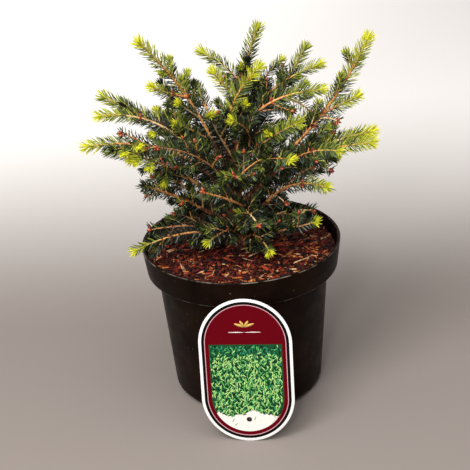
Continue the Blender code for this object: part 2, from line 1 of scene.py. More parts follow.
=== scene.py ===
"""Looks of a birds nest spruce in its nursery pot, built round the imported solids.

Metres, +Z up. The origin is the centre of the pot's flat underside. Azimuths run anticlockwise from
+X, seen from above, so 270 degrees is the front.
"""

import logging
import math
import random
from dataclasses import dataclass, field
from enum import Enum
from math import cos, hypot, radians, sin
from typing import Any, Iterable, Iterator, Optional, Sequence

import bmesh
import bpy
import numpy as np
from bmesh.types import BMesh, BMVert
from bpy.types import Material, Mesh, Node, NodeSocket, NodeTree, Object
from mathutils import Matrix, Vector, noise
from mathutils.kdtree import KDTree


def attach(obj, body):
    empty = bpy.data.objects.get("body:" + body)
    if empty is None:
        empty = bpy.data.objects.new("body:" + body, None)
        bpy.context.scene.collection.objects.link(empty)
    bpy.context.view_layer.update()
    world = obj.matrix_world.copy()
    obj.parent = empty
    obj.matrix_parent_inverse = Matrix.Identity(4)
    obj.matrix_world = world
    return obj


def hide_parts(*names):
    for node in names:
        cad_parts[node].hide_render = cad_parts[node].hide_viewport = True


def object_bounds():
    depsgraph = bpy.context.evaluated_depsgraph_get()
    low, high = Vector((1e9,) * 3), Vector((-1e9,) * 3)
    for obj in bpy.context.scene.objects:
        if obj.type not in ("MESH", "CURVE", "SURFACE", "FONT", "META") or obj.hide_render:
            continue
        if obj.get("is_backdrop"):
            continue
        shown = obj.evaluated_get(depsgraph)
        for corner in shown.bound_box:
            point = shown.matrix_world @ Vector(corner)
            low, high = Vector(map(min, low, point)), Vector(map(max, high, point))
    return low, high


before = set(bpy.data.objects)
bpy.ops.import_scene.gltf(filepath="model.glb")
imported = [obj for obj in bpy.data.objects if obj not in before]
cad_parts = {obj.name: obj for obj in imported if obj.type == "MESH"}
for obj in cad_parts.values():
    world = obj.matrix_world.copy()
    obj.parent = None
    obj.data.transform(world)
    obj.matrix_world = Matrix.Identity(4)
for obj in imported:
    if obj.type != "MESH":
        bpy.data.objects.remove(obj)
CAD_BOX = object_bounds()

LOG = logging.getLogger("spruce")
BODY = "root"
MM = 0.001
WELD = 0.001 * MM
UP = Vector((0.0, 0.0, 1.0))
GOLDEN_TURN = radians(137.5)
FULL_TURN = 2.0 * math.pi


def linear(code: str) -> tuple[float, float, float, float]:
    """Turn an sRGB hex colour into the linear colour, with an alpha of 1, that a shader takes."""
    parts = [int(code[index:index + 2], 16) / 255.0 for index in (1, 3, 5)]
    red, green, blue = (c / 12.92 if c <= 0.04045 else ((c + 0.055) / 1.055) ** 2.4 for c in parts)
    return red, green, blue, 1.0


def add_node(tree: NodeTree, kind: str, inputs: dict[Any, Any], **settings: Any) -> Node:
    """Add a node to a tree with its settings, and fill or link its inputs.

    Args:
        tree: the node tree.
        kind: the node's Blender type name.
        inputs: a value or an output socket to link, by the input's name or number.
        settings: the node's own properties.

    Returns:
        The new node.
    """
    node = tree.nodes.new(kind)
    for key, value in settings.items():
        setattr(node, key, value)
    for key, value in inputs.items():
        if isinstance(value, NodeSocket):
            tree.links.new(value, node.inputs[key])
        else:
            node.inputs[key].default_value = value
    return node


@dataclass(frozen=True)
class Finish:
    """A finish: its colours, gloss and relief, and the grain that tints, dulls and raises it.

    Each stop is a place on the grain and the number of the colour there. The swing is how far the
    roughness runs below and above its middle.
    """

    name: str
    colours: tuple[str, ...]
    roughness: float = 0.5
    ior: float = 1.5
    specular: float = 0.5
    relief: float = 0.0
    grain_size: float = 1.0 * MM
    detail: float = 3.0
    stops: tuple[tuple[float, int], ...] = ()
    swing: tuple[float, ...] = ()
    sockets: tuple[tuple[str, Any], ...] = ()

    def material(self) -> Material:
        """Make the Blender material, with its pattern on Object coordinates."""
        material = bpy.data.materials.new(self.name)
        material.use_nodes = True
        tree = material.node_tree
        shader = tree.nodes["Principled BSDF"]
        plain = {
            "Base Color": linear(self.colours[0]), "Roughness": self.roughness, "IOR": self.ior,
            "Specular IOR Level": self.specular, **dict(self.sockets),
        }
        for key, value in plain.items():
            shader.inputs[key].default_value = value
        place = add_node(tree, "ShaderNodeTexCoord", {}).outputs["Object"]
        tint, dull, height = self.values(tree, place)
        if self.stops:
            ramp = add_node(tree, "ShaderNodeValToRGB", {"Fac": tint})
            elements = ramp.color_ramp.elements
            while len(elements) < len(self.stops):
                elements.new(1.0)
            for element, (position, number) in zip(elements, self.stops):
                element.position = position
                element.color = linear(self.colours[number])
            overlaid = self.overlaid(tree, place, ramp.outputs["Color"], dull)
            tree.links.new(overlaid, shader.inputs["Base Color"])
        if self.swing:
            ends = {"To Min": self.roughness - self.swing[0], "To Max": self.roughness + self.swing[1]}
            inputs = {"Value": dull, "From Min": 0.3, "From Max": 0.7, **ends}
            span = add_node(tree, "ShaderNodeMapRange", inputs)
            tree.links.new(span.outputs["Result"], shader.inputs["Roughness"])
        if self.relief:
            bump = add_node(tree, "ShaderNodeBump", {"Height": height, "Distance": self.relief})
            tree.links.new(bump.outputs["Normal"], shader.inputs["Normal"])
        return material

    def values(self, tree: NodeTree, place: Any) -> tuple[Any, Any, Any]:
        """The values that tint, dull and raise the surface: one grain for all three."""
        inputs = {"Vector": place, "Scale": 1.0 / self.grain_size, "Detail": self.detail}
        return (add_node(tree, "ShaderNodeTexNoise", inputs).outputs["Fac"],) * 3

    def overlaid(self, tree: NodeTree, place: Any, colour: Any, patch_noise: Any) -> Any:
        """The colour with marks over it, such as dust, wear and painted highlights, of which most finishes
        have none.
        """
        return colour


@dataclass(frozen=True)
class WaxyNeedle(Finish):
    """Living conifer needle: wax over rows of pores, so its ridges glint and its sides stay matt."""

    roughness: float = 0.46
    ior: float = 1.45
    specular: float = 0.35
    relief: float = 0.05 * MM
    grain_size: float = 0.6 * MM
    swing: tuple[float, ...] = (0.10, 0.14)


@dataclass(frozen=True)
class TwigBark(Finish):
    """Bark of young twigs: thin, with darker furrows between the pegs that old needles leave."""

    roughness: float = 0.6
    relief: float = 0.35 * MM
    grain_size: float = 1.6 * MM
    detail: float = 4.0
    stops: tuple[tuple[float, int], ...] = ((0.36, 1), (0.55, 0), (0.80, 0))


@dataclass(frozen=True)
class FlakedBark(Finish):
    """Bark of the trunk and boughs: grey-brown plates, drawn out along the stem, on redder underbark."""

    roughness: float = 0.8
    relief: float = 0.7 * MM
    grain_size: float = 0.7 * MM
    detail: float = 5.0
    stops: tuple[tuple[float, int], ...] = ((0.02, 1), (0.16, 0), (0.42, 2))
    plate: float = 3.2 * MM

    def values(self, tree: NodeTree, place: Any) -> tuple[Any, Any, Any]:
        """Plates from a drawn-out cell pattern, with fibre on them."""
        drawn_out = {"Vector": place, "Scale": (1.0, 1.0, 0.45)}
        drawn = add_node(tree, "ShaderNodeMapping", drawn_out).outputs["Vector"]
        inputs = {"Vector": drawn, "Scale": 1.0 / self.plate}
        cells = add_node(tree, "ShaderNodeTexVoronoi", inputs, feature="DISTANCE_TO_EDGE")
        factors = {0: cells.outputs["Distance"], 1: super().values(tree, place)[0]}
        plates = add_node(tree, "ShaderNodeMath", factors, operation="MULTIPLY")
        return (plates.outputs["Value"],) * 3


@dataclass(frozen=True)
class BudScale(Finish):
    """Winter bud: papery scales, darker at their edges, so lacquered with resin that they shine."""

    roughness: float = 0.38
    relief: float = 0.2 * MM
    grain_size: float = 1.1 * MM
    detail: float = 2.0
    stops: tuple[tuple[float, int], ...] = ((0.38, 1), (0.56, 0))
    sockets: tuple[tuple[str, Any], ...] = (("Coat Weight", 0.35), ("Coat Roughness", 0.25))


@dataclass(frozen=True)
class ShreddedBark(Finish):
    """Shredded bark mulch: torn fibrous chips, darker where they are damp."""

    roughness: float = 0.72
    specular: float = 0.3
    relief: float = 0.4 * MM
    grain_size: float = 1.1 * MM
    detail: float = 5.0
    stops: tuple[tuple[float, int], ...] = ((0.12, 1), (0.30, 0))
    swing: tuple[float, ...] = (0.16, 0.12)

    def values(self, tree: NodeTree, place: Any) -> tuple[Any, Any, Any]:
        """Torn fibre, tinted by damp patches over several chips."""
        fibre = super().values(tree, place)[0]
        patches = {"Vector": place, "Scale": 1.0 / (7.0 * self.grain_size), "Detail": 1.0}
        patch = add_node(tree, "ShaderNodeTexNoise", patches).outputs["Fac"]
        mixed = add_node(tree, "ShaderNodeMath", {0: fibre, 1: patch}, operation="MULTIPLY")
        return mixed.outputs["Value"], fibre, fibre


@dataclass(frozen=True)
class MoistPeat(Finish):
    """Moist peat mix: crumbs, lighter where the grain stands up and nearly black in the hollows between
    them.
    """

    roughness: float = 0.95
    relief: float = 1.0 * MM
    grain_size: float = 2.5 * MM
    detail: float = 6.0
    stops: tuple[tuple[float, int], ...] = ((0.40, 0), (0.65, 1))


@dataclass(frozen=True)
class MouldedPolypropylene(Finish):
    """Injection-moulded recycled polypropylene: satin, brown-black, with a faint orange peel.

    The lip and the collar's foot are a little lighter in broken bands: a painted highlight where light
    catches these rounded edges, with some scuffing from rubbing in a tray.
    """

    roughness: float = 0.42
    ior: float = 1.49
    specular: float = 0.09
    relief: float = 0.06 * MM
    grain_size: float = 26.0 * MM
    stops: tuple[tuple[float, int], ...] = ((0.35, 0), (0.7, 1))
    swing: tuple[float, ...] = (0.05, 0.10)
    sockets: tuple[tuple[str, Any], ...] = (("Specular Tint", linear("#d8ab8c")),)
    peel: float = 1.4 * MM
    dust: float = 2.0 * MM
    # Heights of the lip and the collar's foot, where broken bands of painted highlight, with some scuffing,
    # lie
    highlit_edges: tuple[float, ...] = (136.4 * MM, 113.2 * MM)
    highlight_depth: float = 0.5 * MM

    def values(self, tree: NodeTree, place: Any) -> tuple[Any, Any, Any]:
        """Cloudy colour, patches that vary the gloss and break up the painted edge highlight, and the peel.
        """
        cloud = super().values(tree, place)[0]
        patches = {"Vector": place, "Scale": 1.0 / (4.5 * self.dust), "Detail": 6.0}
        patch_noise = add_node(tree, "ShaderNodeTexNoise", patches).outputs["Fac"]
        dimples = {"Vector": place, "Scale": 1.0 / self.peel, "Detail": 2.0}
        return cloud, patch_noise, add_node(tree, "ShaderNodeTexNoise", dimples).outputs["Fac"]

    def overlaid(self, tree: NodeTree, place: Any, colour: Any, patch_noise: Any) -> Any:
        """Add dust specks, and broken bands of painted highlight, with some scuffing, along the lip and the
        collar's foot.
        """
        height = add_node(tree, "ShaderNodeSeparateXYZ", {"Vector": place}).outputs["Z"]
        dust = {"Vector": place, "Scale": 1.0 / self.dust, "Detail": 1.0}
        speck = add_node(tree, "ShaderNodeTexNoise", dust).outputs["Fac"]
        lightest = {"Value": speck, "From Min": 0.74, "From Max": 0.80, "To Max": 0.3}
        dust_and_highlight = add_node(tree, "ShaderNodeMapRange", lightest).outputs["Result"]
        patches = {"Value": patch_noise, "From Min": 0.42, "From Max": 0.60, "To Max": 0.85}
        broken_band = add_node(tree, "ShaderNodeMapRange", patches).outputs["Result"]
        # A lighter band along each edge, broken by patches: painted highlight, with some scuffing
        for level in self.highlit_edges:
            off = add_node(tree, "ShaderNodeMath", {0: height, 1: level}, operation="SUBTRACT")
            away = add_node(tree, "ShaderNodeMath", {0: off.outputs["Value"]}, operation="ABSOLUTE")
            near = {"From Max": self.highlight_depth, "To Min": 1.0, "To Max": 0.0}
            band = add_node(tree, "ShaderNodeMapRange", {"Value": away.outputs["Value"], **near})
            both = {0: band.outputs["Result"], 1: broken_band}
            edge_highlight = add_node(tree, "ShaderNodeMath", both, operation="MULTIPLY").outputs["Value"]
            most = add_node(tree, "ShaderNodeMath", {0: dust_and_highlight, 1: edge_highlight}, operation="MAXIMUM")
            dust_and_highlight = most.outputs["Value"]
        sides = {"Factor": dust_and_highlight, "A": colour, "B": linear(self.colours[2])}
        return add_node(tree, "ShaderNodeMix", sides, data_type="RGBA").outputs["Result"]


@dataclass(frozen=True)
class PrintedCard(Finish):
    """Laminated label card: ink that lies slightly uneven under a clear film with a soft gloss."""

    roughness: float = 0.36
    specular: float = 0.07
    relief: float = 0.02 * MM
    grain_size: float = 0.8 * MM
    detail: float = 2.0
    stops: tuple[tuple[float, int], ...] = ((0.35, 1), (0.65, 0))
    swing: tuple[float, ...] = (0.04, 0.06)


@dataclass(frozen=True)
class SeamlessPaper(Finish):
    """The studio's floor: matt seamless paper, painted darker near the plant and paler towards the back, a
    painted stand-in for the light that catches it more towards the back.
    """

    roughness: float = 0.8
    stops: tuple[tuple[float, int], ...] = ((0.0, 0), (1.0, 1))
    # Where the painted light on the floor starts and stops brightening it, from front to back
    near_edge: float = 90.0 * MM
    far_edge: float = 740.0 * MM

    def values(self, tree: NodeTree, place: Any) -> tuple[Any, Any, Any]:
        """A slow change from the near colour to the far one."""
        depth = add_node(tree, "ShaderNodeSeparateXYZ", {"Vector": place}).outputs["Y"]
        inputs = {"Value": depth, "From Min": self.near_edge, "From Max": self.far_edge}
        share = add_node(tree, "ShaderNodeMapRange", inputs, interpolation_type="SMOOTHSTEP")
        return (share.outputs["Result"],) * 3


def compass(angle: float) -> Vector:
    """The level direction at an angle in radians from +X."""
    return Vector((cos(angle), sin(angle), 0.0))


def turned(turn: float, tilt: float, roll: float = 0.0) -> Matrix:
    """A turn round X, then Y, then Z, in radians."""
    return Matrix.Rotation(turn, 3, "Z") @ Matrix.Rotation(tilt, 3, "Y") @ Matrix.Rotation(roll, 3, "X")


def sides_of(along: Vector, light: Vector, least: float = 0.05) -> tuple[Vector, Vector]:
    """The two directions square to an axis, the first of them square to the light's too."""
    level = light.cross(along)
    side = level.normalized() if level.length > least else Vector((1.0, 0.0, 0.0))
    return side, along.cross(side)


def linked(name: str, data: Any) -> Object:
    """Make an object of some data and link it to the scene."""
    item = bpy.data.objects.new(name, data)
    bpy.context.scene.collection.objects.link(item)
    return item


def meshed(shape: BMesh, name: str) -> Mesh:
    """Turn a bmesh, which is freed, into a mesh."""
    mesh = bpy.data.meshes.new(name)
    shape.to_mesh(mesh)
    shape.free()
    return mesh


def make_piece(
    name: str, mesh: Mesh, materials: Sequence[Material], stands_for: Sequence[str] = ()
) -> None:
    """Link a finished mesh as a piece that rides on the root body.

    Args:
        name: the piece's name.
        mesh: its mesh, in its place.
        materials: its materials, in the order of the faces' indices.
        stands_for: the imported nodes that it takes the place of.
    """
    mesh.name = name
    for material in materials:
        mesh.materials.append(material)
    piece = linked(name, mesh)
    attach(piece, BODY)
    if stands_for:
        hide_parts(*stands_for)
    LOG.info("%s: %d triangles", name, sum(len(face.vertices) - 2 for face in mesh.polygons))


def worked_out(item: Object) -> Mesh:
    """Take an object's mesh with its bevel or modifiers applied, and remove the object."""
    bpy.context.view_layer.update()
    evaluated = item.evaluated_get(bpy.context.evaluated_depsgraph_get())
    mesh = bpy.data.meshes.new_from_object(evaluated)
    bpy.data.objects.remove(item)
    return mesh


def cut_out(mesh: Mesh, cutter: Object) -> Mesh:
    """A mesh less the volume of a cutter."""
    item = linked(mesh.name + "_whole", mesh)
    cut = item.modifiers.new("cut", "BOOLEAN")
    cut.operation = "DIFFERENCE"
    cut.object = cutter
    return worked_out(item)


def split(shape: BMesh, place: tuple, normal: tuple, clear: bool = False) -> None:
    """Split a shape's faces along a plane, and take away what is past it if asked to."""
    geom = shape.verts[:] + shape.edges[:] + shape.faces[:]
    bmesh.ops.bisect_plane(shape, geom=geom, plane_co=place, plane_no=normal, clear_outer=clear)


def thickened(shape: BMesh, height: float) -> None:
    """Give a flat shape a thickness, up or down."""
    grown = bmesh.ops.extrude_face_region(shape, geom=shape.faces[:])
    moved = [item for item in grown["geom"] if isinstance(item, BMVert)]
    bmesh.ops.translate(shape, vec=(0.0, 0.0, height), verts=moved)
    bmesh.ops.recalc_face_normals(shape, faces=shape.faces)


def rounded(shape: BMesh, edges: Sequence[Any], size: float, segments: int) -> None:
    """Round some edges off."""
    bmesh.ops.bevel(
        shape, geom=edges, offset=size, offset_type="OFFSET", affect="EDGES", segments=segments,
        profile=0.5, material=-1,
    )


def smooth_by_angle(mesh: Mesh, degrees: float) -> None:
    """Shade a mesh smooth except over edges sharper than an angle."""
    mesh.polygons.foreach_set("use_smooth", [True] * len(mesh.polygons))
    mesh.set_sharp_from_angle(angle=radians(degrees))


def arc(centre_r: float, centre_z: float, radius: float, start: float, end: float, steps: int) -> list:
    """Points of a round in a turned profile.

    Args:
        centre_r: the round's centre, from the axis.
        centre_z: the round's centre, above the ground.
        radius: the round's radius.
        start: the first angle, in degrees.
        end: the last angle, in degrees.
        steps: how many stretches it has.

    Returns:
        The points as pairs of radius and height.
    """
    angles = [radians(start + (end - start) * step / steps) for step in range(steps + 1)]
    return [(centre_r + radius * cos(a), centre_z + radius * sin(a)) for a in angles]


def spun(profile: Sequence[tuple[float, float]], steps: int) -> BMesh:
    """Spin a profile of radii and heights, from axis to axis, a full turn round the Z axis."""
    shape = bmesh.new()
    corners = [shape.verts.new((radius, 0.0, height)) for radius, height in profile]
    edges = [shape.edges.new(pair) for pair in zip(corners, corners[1:])]
    bmesh.ops.spin(
        shape, geom=corners + edges, cent=(0.0, 0.0, 0.0), axis=UP, angle=FULL_TURN, steps=steps,
        use_merge=True,
    )
    bmesh.ops.remove_doubles(shape, verts=shape.verts, dist=WELD)
    bmesh.ops.recalc_face_normals(shape, faces=shape.faces)
    return shape


@dataclass
class Template:
    """A small closed mesh that is copied many times, as arrays of corners and triangles."""

    corners: np.ndarray
    triangles: np.ndarray

    @classmethod
    def of(cls, shape: BMesh) -> "Template":
        """Take the triangles of a bmesh, which is freed."""
        bmesh.ops.recalc_face_normals(shape, faces=shape.faces)
        bmesh.ops.triangulate(shape, faces=shape.faces)
        shape.verts.index_update()
        corners = np.array([vertex.co[:] for vertex in shape.verts])
        triangles = np.array([[vertex.index for vertex in face.verts] for face in shape.faces])
        shape.free()
        return cls(corners, triangles)


@dataclass
class Swarm:
    """Copies of some templates that are joined into one mesh."""

    templates: Sequence[Template]
    copies: list[tuple[int, tuple[float, ...]]] = field(default_factory=list)

    def add(self, kind: int, across: Vector, over: Vector, along: Vector, origin: Vector) -> None:
        """Add a copy whose X, Y and Z axes are the three vectors, sizes included."""
        self.copies.append((kind, (*across, *over, *along, *origin)))

    def mesh(self, name: str) -> Mesh:
        """Join the copies into one mesh of triangles."""
        corners, triangles, count = [], [], 0
        for kind, template in enumerate(self.templates):
            rows = np.array([numbers for own, numbers in self.copies if own == kind])
            if not len(rows):
                continue
            axes = rows[:, :9].reshape(-1, 3, 3)
            placed = np.einsum("nj,kji->kni", template.corners, axes) + rows[:, None, 9:]
            size = len(template.corners)
            starts = count + size * np.arange(len(rows))
            corners.append(placed.reshape(-1, 3))
            triangles.append((template.triangles[None] + starts[:, None, None]).reshape(-1, 3))
            count += size * len(rows)
        places = np.concatenate(corners).astype(np.float32)
        indices = np.concatenate(triangles).astype(np.int32)
        mesh = bpy.data.meshes.new(name)
        mesh.vertices.add(len(places))
        mesh.vertices.foreach_set("co", places.ravel())
        mesh.loops.add(indices.size)
        mesh.loops.foreach_set("vertex_index", indices.ravel())
        mesh.polygons.add(len(indices))
        mesh.polygons.foreach_set("loop_start", np.arange(0, indices.size, 3, dtype=np.int32))
        mesh.update(calc_edges=True)
        mesh.validate()
        return mesh


@dataclass
class Pot:
    """The nursery pot: collar, round lip, tapered body and drain slots at the foot."""

    height: float = 137.0 * MM
    wall: float = 1.6 * MM
    base: float = 2.2 * MM
    rim_radius: float = 85.0 * MM
    collar_foot_radius: float = 82.0 * MM
    collar_height: float = 24.3 * MM
    body_top_radius: float = 73.3 * MM
    body_foot_radius: float = 64.0 * MM
    foot_round: float = 8.0 * MM
    lip_round: float = 1.1 * MM
    step_round: float = 1.2 * MM
    slot_count: int = 6
    slot_size: tuple[float, ...] = (26.0 * MM, 15.0 * MM, 10.0 * MM)
    slot_round: float = 2.0 * MM
    slot_turn: float = 33.0
    steps: int = 168

    def inner_collar_radius(self) -> float:
        """The collar's inner radius at its foot."""
        return self.collar_foot_radius - self.wall

    def profile(self) -> list[tuple[float, float]]:
        """The pot's section: up the inner side from the middle of the floor, and down the outer side."""
        shoulder = self.height - self.collar_height
        taper = (self.body_top_radius - self.body_foot_radius) * (self.foot_round / shoulder)
        foot_centre = self.body_foot_radius + taper - self.foot_round
        inner_round = self.foot_round - self.wall
        inner_top = self.body_top_radius - self.wall
        inner_collar = self.inner_collar_radius()
        inner_shoulder = shoulder + self.wall
        step, lip = self.step_round, self.lip_round
        points = [(0.0, self.base)]
        points += arc(foot_centre, self.base + inner_round, inner_round, -90, 0, 5)
        points += [(inner_top - 0.1 * MM, inner_shoulder - step)]
        points += arc(inner_top + step, inner_shoulder - step, step, 180, 90, 4)[1:]
        points += arc(inner_collar - step, inner_shoulder + step, step, -90, 0, 4)
        points += arc(self.rim_radius - lip, self.height - lip, lip, 180, 0, 8)
        points += arc(self.collar_foot_radius - step, shoulder + step, step, 0, -90, 5)
        points += arc(self.body_top_radius + step, shoulder - step, step, 90, 180, 4)
        points += arc(foot_centre, self.foot_round, self.foot_round, 0, -90, 7)
        return points + [(0.0, 0.0)]

    def build(self) -> None:
        """Spin the pot, cut its slots and dress it."""
        cutter = linked("slot_cutter", meshed(self.slots(), "slot_cutter"))
        finished = cut_out(meshed(spun(self.profile(), self.steps), "pot_turned"), cutter)
        bpy.data.objects.remove(cutter)
        smooth_by_angle(finished, 32.0)
        # The third colour lightens the dust specks and the broken bands along the lip and the collar's foot,
        # which are painted highlight with some scuffing
        finish = MouldedPolypropylene("Moulded polypropylene", ("#0b0604", "#1b0f09", "#8c8177"))
        make_piece("pot_shell", finished, [finish.material()], ["pot"])

    def slots(self) -> BMesh:
        """Blocks with rounded upper corners that cut the drain slots through the foot."""
        shape = bmesh.new()
        for index in range(self.slot_count):
            angle = radians(360.0 * index / self.slot_count + self.slot_turn)
            place = Matrix.Rotation(angle, 4, "Z") @ Matrix.Translation((self.body_foot_radius, 0.0, 0.0))
            size = Matrix.Diagonal((*self.slot_size, 1.0))
            block = bmesh.ops.create_cube(shape, size=1.0, matrix=place @ size)
            edges = {edge for vertex in block["verts"] for edge in vertex.link_edges}
            upper = [
                edge for edge in edges
                if all(vertex.co.z > 0.0 for vertex in edge.verts)
                and abs((edge.verts[1].co - edge.verts[0].co).normalized().dot(compass(angle))) > 0.9
            ]
            rounded(shape, upper, self.slot_round, 4)
        return shape


class ChipTone(Enum):
    """Colours of the mulch's chips, with the share of the chips that has each."""

    DAMP = ("#260603", 0.36)
    RED = ("#661509", 0.33)
    ORANGE = ("#a03a17", 0.18)
    TAN = ("#d07a3e", 0.09)
    STRAW = ("#ecb987", 0.04)


@dataclass(frozen=True)
class Fallen:
    """A stick or chip on top of the mulch, in millimetres and degrees, and its colour."""

    x: float
    y: float
    lift: float
    turn: float
    tilt: float
    long: float
    wide: float
    tone: ChipTone


DAMP, RED, ORANGE, TAN, STRAW = ChipTone
FALLEN = tuple(Fallen(*row) for row in (
    (-60, -3, 2.0, 35, 5, 7.5, 2.6, STRAW),
    (-73, -7, 2.4, 107, 4, 20, 1.3, TAN),
    (12, -22, 2.4, 31, -3, 17, 1.2, STRAW),
    (49, -38, 2.6, 39, 4, 20, 1.3, STRAW),
    (28, -23, 2.4, -29, 3, 25, 1.1, TAN),
    (70, 5, 2.2, 70, 8, 7, 2.4, STRAW),
    (55, 45, 9.0, 20, -42, 19, 3.6, RED),
    (55, 42, 4.0, 60, -25, 13, 3.0, DAMP),
    (-38, -58, 2.0, -20, 3, 8, 2.4, TAN),
    (20, -66, 2.0, 78, 5, 7, 2.2, STRAW),
    (-6, -60, 2.0, 12, 4, 8.5, 2.6, TAN),
    (62, -22, 2.0, -50, 5, 8, 2.6, TAN),
))


@dataclass
class Mulch:
    """The growing medium and the layer of shredded bark on it."""

    pot: Pot
    medium_top: float = 119.0 * MM
    top: float = 127.0 * MM
    crown: float = 3.0 * MM
    bed_bump: float = 1.6 * MM
    bed_grain: float = 7.0 * MM
    gap: float = 0.3 * MM
    rings: int = 44
    steps: int = 150
    chips: int = 3000
    chip_kinds: int = 9
    lengths: tuple[float, ...] = (4.0, 5.5, 7.5, 9.5, 13.0)
    stem_clear: float = 9.0 * MM
    damp: str = "#1d0603"
    seed: int = 11

    def outer_radius(self) -> float:
        """The mulch's radius inside the collar."""
        return self.pot.inner_collar_radius() - self.gap

    def height(self, radius: float) -> float:
        """The mulch's height, which is a little more near the stem than at the rim."""
        share = radius / self.pot.collar_foot_radius
        return self.top + self.crown * (1.0 - share * share)

    def ground(self, x: float, y: float, lift: float = 0.0) -> Vector:
        """The place on the uneven bed under a point, lifted by some height."""
        rough = noise.noise(Vector((x, y, 0.0)) / self.bed_grain)
        return Vector((x, y, self.height(hypot(x, y)) - 0.6 * MM + self.bed_bump * rough + lift))

    def build(self) -> None:
        """Build the bed and its chips, and dress the medium under them."""
        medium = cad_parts["growing_medium"].data
        medium.materials.clear()
        medium.materials.append(MoistPeat("Moist peat mix", ("#120906", "#3a2015")).material())
        outer = self.outer_radius()
        low = self.medium_top + self.gap
        profile = [(0.0, low), (outer, low)]
        profile += [(outer * (1.0 - ring / self.rings), self.top) for ring in range(self.rings + 1)]
        shape = spun(profile, self.steps)
        for vertex in shape.verts:
            if vertex.co.z > low + self.gap:
                vertex.co = self.ground(vertex.co.x, vertex.co.y)
        bed = ShreddedBark("Damp shredded bark", ("#3c1008", self.damp), 0.85)
        make_piece("mulch_bed", meshed(shape, "mulch_bed"), [bed.material()], ["bark_mulch"])
        self.build_chips()

    def chip_templates(self, rng: random.Random) -> list[Template]:
        """Torn chips and fibres: long blocks, split across once and pulled out of true."""
        templates = []
        for _ in range(self.chip_kinds):
            shape = bmesh.new()
            bmesh.ops.create_cube(shape, size=1.0)
            split(shape, (rng.uniform(-0.15, 0.15), 0.0, 0.0), (1.0, rng.uniform(-0.3, 0.3), 0.0))
            bend = rng.uniform(-0.35, 0.35)
            for vertex in shape.verts:
                end = abs(vertex.co.x) > 0.4
                vertex.co.y *= rng.uniform(0.25, 0.8) if end else rng.uniform(0.8, 1.15)
                vertex.co.z *= rng.uniform(0.5, 1.0)
                vertex.co.z += bend * (0.25 - vertex.co.x ** 2)
                vertex.co += Vector((rng.uniform(-0.12, 0.12), 0.0, rng.uniform(-0.12, 0.12)))
            templates.append(Template.of(shape))
        return templates

    def build_chips(self) -> None:
        """Strew the chips over the bed, most of them flat, and join them by colour."""
        rng = random.Random(self.seed)
        templates = self.chip_templates(rng)
        swarms = {tone: Swarm(templates) for tone in ChipTone}
        edge = self.outer_radius() - 0.4 * MM
        placed = 0
        while placed < self.chips:
            reach = edge * math.sqrt(rng.random())
            azimuth = rng.uniform(0.0, FULL_TURN)
            spot = Vector((reach * cos(azimuth), reach * sin(azimuth), 0.0))
            long = rng.choice(self.lengths) * rng.uniform(0.8, 1.2) * MM
            sizes = (long, min(0.42 * long, rng.uniform(1.3, 3.4) * MM), rng.uniform(0.5, 1.2) * MM)
            turn = rng.uniform(0.0, FULL_TURN)
            axes = turned(turn, radians(rng.gauss(0.0, 17.0)), radians(rng.gauss(0.0, 26.0)))
            lift = rng.uniform(-0.3, 1.5) * MM
            half = axes @ Vector((0.5 * long, 0.0, 0.0))
            if max((spot + half).xy.length, (spot - half).xy.length) > edge or reach < self.stem_clear:
                continue
            tone = rng.choices(list(ChipTone), [tone.value[1] for tone in ChipTone])[0]
            place = self.ground(spot.x, spot.y, lift)
            self.lay(swarms[tone], rng.randrange(len(templates)), axes, sizes, place)
            placed += 1
        for piece in FALLEN:
            place = self.ground(piece.x * MM, piece.y * MM, piece.lift * MM)
            sizes = (piece.long * MM, piece.wide * MM, 1.1 * MM)
            self.lay(swarms[piece.tone], 0, turned(radians(piece.turn), radians(piece.tilt)), sizes, place)
        for tone, swarm in swarms.items():
            name = tone.name.lower()
            finish = ShreddedBark(f"Shredded bark {name}", (tone.value[0], self.damp))
            make_piece(f"mulch_chips_{name}", swarm.mesh(name), [finish.material()])

    def lay(self, swarm: Swarm, kind: int, axes: Matrix, sizes: Sequence[float], place: Vector) -> None:
        """Add a chip of some sizes along its turned axes."""
        swarm.add(kind, *(column * size for column, size in zip(axes.transposed(), sizes)), place)


INK_SHADE = 0.93


class Ink(Enum):
    """The card and the inks printed on it, in the order of the label's material slots."""

    CARD = "#f4f3f0"
    BLACK = "#0c0a0a"
    PINK = "#d9a6ac"
    RED = "#60000d"
    GOLD = "#d8b25e"
    CREAM = "#f4ebe3"
    HEDGE = "#1a4c2c"
    SHADE_LEAF = "#0b2210"
    TEAL_LEAF = "#2f9468"
    LEAF = "#6fbf68"
    PALE_LEAF = "#c0ea8c"

    def number(self) -> int:
        """The ink's place among the material slots."""
        return list(Ink).index(self)

    def thicker(self) -> str:
        """The ink's colour where it lies thicker, a little darker."""
        parts = (round(int(self.value[index:index + 2], 16) * INK_SHADE) for index in (1, 3, 5))
        return "#" + "".join(f"{part:02x}" for part in parts)


# How often a blade of each ink is printed, in the dark hedge above and in the field below it
HEDGE_SHARES = {Ink.SHADE_LEAF: 0.6, Ink.TEAL_LEAF: 0.8, Ink.LEAF: 0.15, Ink.PALE_LEAF: 0.04}
FIELD_SHARES = {Ink.SHADE_LEAF: 1.0, Ink.TEAL_LEAF: 0.12, Ink.LEAF: 0.95}


